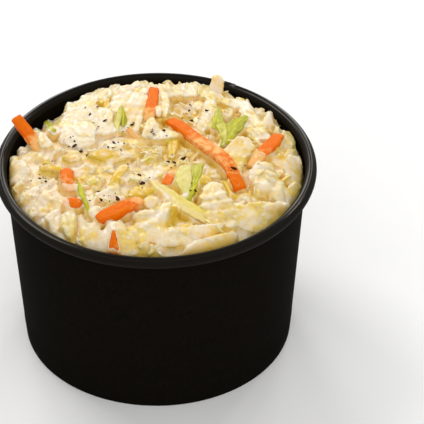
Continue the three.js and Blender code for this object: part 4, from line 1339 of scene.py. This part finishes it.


# the cream of the dressing, laid only on tops as painted light
CREAM_AND_TOP_LIGHT = srgb(250, 231, 207)
CUT_CABBAGE = srgb(250, 214, 112)
PALE_GREEN = srgb(232, 218, 104)
# the gold of soaked cabbage, also painted shade on steep faces
SOAKED_GOLD_AND_SIDE_SHADE = srgb(230, 186, 20)
# amber of dressing pooled in hollows, and painted shade there
HOLLOW_AMBER_AND_SHADE = srgb(216, 174, 0)
PEACH = srgb(255, 158, 84)
CARROT_DEEP = srgb(232, 100, 0)
CARROT_BRIGHT = srgb(246, 128, 0)
CARROT_COATED = srgb(255, 204, 130)
LEAF_DEEP = srgb(160, 160, 0)
LEAF_BRIGHT = srgb(208, 202, 0)
LEAF_COATED = srgb(236, 226, 132)
# the stalk's two sides: painted shade and painted light
STALK_SHADED_SIDE = srgb(228, 206, 84)
STALK_LIT_SIDE = srgb(238, 216, 140)
STALK_COATED = srgb(246, 228, 170)
BOARD_DARK = srgb(17, 15, 11)
BOARD_LIGHT = srgb(26, 23, 18)
BOARD_SPECK = srgb(21, 18, 14)
BOARD_GLOSS = (1, 0.88, 0.7, 1)
BLACK = srgb(0, 0, 0)
PEPPER_DARK = srgb(40, 24, 10)
PEPPER_LIGHT = srgb(92, 56, 26)
PEPPER_HUSK = srgb(84, 54, 30)
FLOOR_PALE = (0.95, 0.95, 0.945, 1.0)
FLOOR_BRIGHT = (0.97, 0.97, 0.968, 1.0)


def black_board(name, roughness, sheen, shade):
    """Black coated board with the faint mottle of its fibres, glossiest where it faces straight up."""
    s = Shader(name, Specular_IOR_Level=sheen, Specular_Tint=BOARD_GLOSS)
    place = s.place()
    fibres = s.noise(s.scaled(place, (1, 1, 0.35)), 1.6, 5, 0.65)
    speck = s.noise(place, 0.12, 2)
    colour = s.blend(s.spread(fibres, 0.3, 0.75), BOARD_DARK, BOARD_LIGHT)
    colour = s.blend(s.spread(speck, 0.35, 0.7), colour, BOARD_SPECK)
    # shade is the share of the board's colour kept, the rest black; the roll's small share is painted shade
    s.show(
        Base_Color=s.blend(1 - shade, colour, BLACK),
        Roughness=s.spread(s.upward(), 0.72, 0.97, 0.75, roughness),
    )
    s.bump(fibres, 0.02)
    return s.material


def wet(name, *, weight, radius, scale, coat, roughness, sheen):
    """The shader of something moist: light enters it as far as scale, and a thin wet coat shines."""
    return Shader(
        name, Subsurface_Weight=weight, Subsurface_Radius=radius, Subsurface_Scale=scale * MM,
        Coat_Weight=coat, Coat_Roughness=0.07, IOR=1.4, Roughness=roughness, Specular_IOR_Level=sheen,
    )


def cabbage(name, weight=0.5, scale=0.7):
    """Wet cabbage: cream where dressing lies on its tops, as painted light; golden and clear where it is
    bare, with golden painted shade on steep faces and in deep places.
    """
    s = wet(name, weight=weight, radius=(1.0, 0.85, 0.5), scale=scale, coat=0.62, roughness=0.45, sheen=0.3)
    look = s.look()
    place = s.place()
    fibre = s.noise(s.scaled(s.grain(), (0.12, 0.9, 1)), 1.0, 1, 0.4)
    cloud = s.noise(place, 0.32, 1.5, 0.5)
    bubble = s.noise(place, 0.75, 3, 0.5)
    body = s.blend(s.spread(look.tint, 0.3, 0.6), CUT_CABBAGE, PALE_GREEN)
    body = s.blend(s.spread(look.tint, 0.55, SOAKED_TINT), body, SOAKED_GOLD_AND_SIDE_SHADE)
    body = s.blend(s.times(s.spread(fibre, 0.4, 0.7), 0.35), body, SOAKED_GOLD_AND_SIDE_SHADE)
    # the film of dressing, thick in patches, is kept to faces that look up: painted light that makes the
    # tops cream
    mottle = s.add(cloud, s.times(bubble, 0.8))
    film = s.spread(s.add(s.times(look.coat, 0.5), mottle), 0.75, 1.45)
    flat = s.spread(s.upward(), 0.05, 0.6)
    body = s.blend(s.times(s.times(film, flat), 0.92), body, CREAM_AND_TOP_LIGHT)
    # painted shade: faces that turn away from up are painted more golden
    body = s.blend(s.times(s.spread(s.upward(), 0.85, 0.1), 0.2), body, SOAKED_GOLD_AND_SIDE_SHADE)
    body = s.blend(s.times(look.warm, 0.5), body, PEACH)
    # deep places are painted golden: amber dressing pooled there, and painted shade
    s.show(Base_Color=s.blend(look.depth, body, HOLLOW_AMBER_AND_SHADE), Roughness=s.spread(cloud, 0.3, 0.7, 0.34, 0.5))
    s.bump(s.add(bubble, s.times(fibre, 0.7)), 0.12)
    return s.material


def carrot(name):
    """Carrot with fibres along it, paler where dressing coats it."""
    s = wet(name, weight=0.3, radius=(1.0, 0.5, 0.2), scale=0.4, coat=0.0, roughness=0.5, sheen=0.15)
    fibre = s.noise(s.scaled(s.grain(), (0.3, 2.2, 1)), 1.0, 4, 0.65)
    cloud = s.noise(s.place(), 0.5, 4, 0.6)
    flesh = s.blend(s.spread(fibre, 0.25, 0.75), CARROT_DEEP, CARROT_BRIGHT)
    film = s.spread(s.add(s.look().coat, s.times(cloud, 1.6)), 1.1, 1.7)
    s.show(Base_Color=s.blend(s.times(film, 0.85), flesh, CARROT_COATED))
    s.bump(s.add(fibre, cloud), 0.16)
    return s.material


def green_leaf(name):
    """Green leaf, or with more tint its pale stalk, painted from a shaded side to a lit side across it;
    both are bleached where dressing coats them.
    """
    s = wet(name, weight=0.3, radius=(0.7, 0.8, 0.12), scale=0.5, coat=0.25, roughness=0.35, sheen=0.3)
    look = s.look()
    grain = s.grain()
    fibre = s.noise(s.scaled(grain, (0.2, 1.6, 1)), 1.0, 4, 0.6)
    cloud = s.noise(s.place(), 0.45, 3)
    is_stalk = s.spread(look.tint, 0.3, 0.7)
    leaf = s.blend(s.spread(fibre, 0.35, 0.65), LEAF_DEEP, LEAF_BRIGHT)
    # painted shade: across its width the stalk runs from a shaded side to a lit one
    stalk = s.blend(s.spread(s.part(grain, "Y"), -0.6, 0.5), STALK_SHADED_SIDE, STALK_LIT_SIDE)
    coated = s.spread(s.add(look.coat, s.times(cloud, 0.8)), 0.6, 1.4)
    bleached = s.blend(is_stalk, LEAF_COATED, STALK_COATED)
    s.show(Base_Color=s.blend(coated, s.blend(is_stalk, leaf, stalk), bleached))
    s.bump(fibre, 0.2)
    return s.material


def black_pepper(name):
    """Ground pepper: dark brown, with a grain of husk here and there."""
    s = Shader(name, Roughness=0.9, Specular_IOR_Level=0.05)
    mottle = s.noise(s.place(), 2.5, 3)
    colour = s.blend(s.spread(mottle, 0.35, 0.7), PEPPER_DARK, PEPPER_LIGHT)
    s.show(Base_Color=s.blend(s.spread(s.look().warm, 0.8, 1.0), colour, PEPPER_HUSK))
    s.bump(mottle, 0.12)
    return s.material


def pale_floor(name):
    s = Shader(name, Roughness=0.8, Specular_IOR_Level=0.1)
    mottle = s.noise(s.place(), 0.02, 3)
    s.show(Base_Color=s.blend(s.spread(mottle, 0.3, 0.7), FLOOR_PALE, FLOOR_BRIGHT))
    return s.material


# ---------------------------------------------------------------- the studio

FLOOR_HALF_SIDE = 3.0
DAYLIGHT = 0.51
AIM = (0, 0, 0.06)
WARM_WHITE = (1.0, 0.99, 0.97)
# Each soft box: its name, place and size in metres, power in watts and colour.
SOFT_BOXES = [
    ("key", (-0.5, 0.5, 0.95), (0.4, 0.4), 3.55, (1.0, 0.98, 0.95)),
    ("glint", (0.5, 0.7, 0.9), (0.12, 0.12), 0.9, WARM_WHITE),
    ("back_left", (-0.32, 1.18, 0.62), (0.3, 0.9), 3.4, WARM_WHITE),
    ("back_right", (0.34, 1.18, 0.62), (0.3, 0.9), 3.0, WARM_WHITE),
    ("fill", (0.2, -0.8, 0.8), (1.5, 1.5), 5.4, WARM_WHITE),
]


def place_in_scene(name, data, place, turn):
    made = bpy.data.objects.new(name, data)
    made.location = place
    made.rotation_euler = turn
    bpy.context.scene.collection.objects.link(made)
    return made


def camera():
    data = bpy.data.cameras.new("camera")
    data.sensor_width = SENSOR_WIDTH
    data.lens = FOCAL_PX * SENSOR_WIDTH / IMAGE_WIDTH_PX
    data.clip_start = 0.01
    data.clip_end = 20
    turn = (math.pi / 2 - CAMERA_PITCH, 0, 0)
    bpy.context.scene.camera = place_in_scene("camera", data, tuple(CAMERA_PLACE * MM), turn)


def soft_box(name, place, size, power, colour):
    """A rectangle of light that faces the tub."""
    data = bpy.data.lights.new(name, "AREA")
    data.shape = "RECTANGLE"
    data.size, data.size_y = size
    data.energy = power
    data.color = colour
    x, y, z = np.array(AIM) - np.array(place)
    turn = (math.atan2(math.hypot(x, y), -z), 0, math.atan2(y, x) - math.pi / 2)
    place_in_scene(name, data, place, turn)


def studio():
    scene = bpy.context.scene
    corners = np.array([(-1, -1, 0), (1, -1, 0), (1, 1, 0), (-1, 1, 0)]) * FLOOR_HALF_SIDE / MM
    floor = mesh_piece("floor", corners, np.array([[0, 1, 2], [0, 2, 3]]), pale_floor("pale_floor"))
    world = bpy.data.worlds.new("studio")
    world.use_nodes = True
    world.node_tree.nodes["Background"].inputs["Color"].default_value = (1, 1, 1, 1)
    world.node_tree.nodes["Background"].inputs["Strength"].default_value = DAYLIGHT
    scene.world = world
    scene.view_settings.view_transform = "Standard"
    for box in SOFT_BOXES:
        soft_box(*box)
    camera()


# ---------------------------------------------------------------- putting it together


def main():
    board = black_board("black_paper", roughness=0.55, sheen=0.01, shade=0.75)
    # the roll: the same board, glossier, and darker as painted shade
    tub_wall(board, black_board("black_paper_roll", roughness=0.06, sheen=0.2, shade=0.25))
    tub_base(board)
    pile, heap = lay_heap()
    finishes = {
        "cabbage_bits": cabbage("cabbage_cut_fine"),
        "cabbage_chips": cabbage("cabbage_chopped"),
        "cabbage_shreds": cabbage("cabbage_shredded"),
        "cabbage_leaves": cabbage("cabbage_leaf"),
        "carrot_strips": carrot("carrot"),
        "green_leaf": green_leaf("green_leaf"),
    }
    slaw = [batch.build(kind, finishes[kind]) for batch, kind in zip(heap, finishes)]
    slaw.append(dressing(pile, cabbage("dressing", weight=0.8, scale=1.8)))
    # paint shade into the hollows of each slaw piece
    for made in slaw:
        mark_hollow_shade(made, pile)
    slaw.append(pepper(pile, black_pepper("black_pepper")))
    for made in slaw:
        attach(made, "root")
        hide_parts("coleslaw")
    studio()


main()
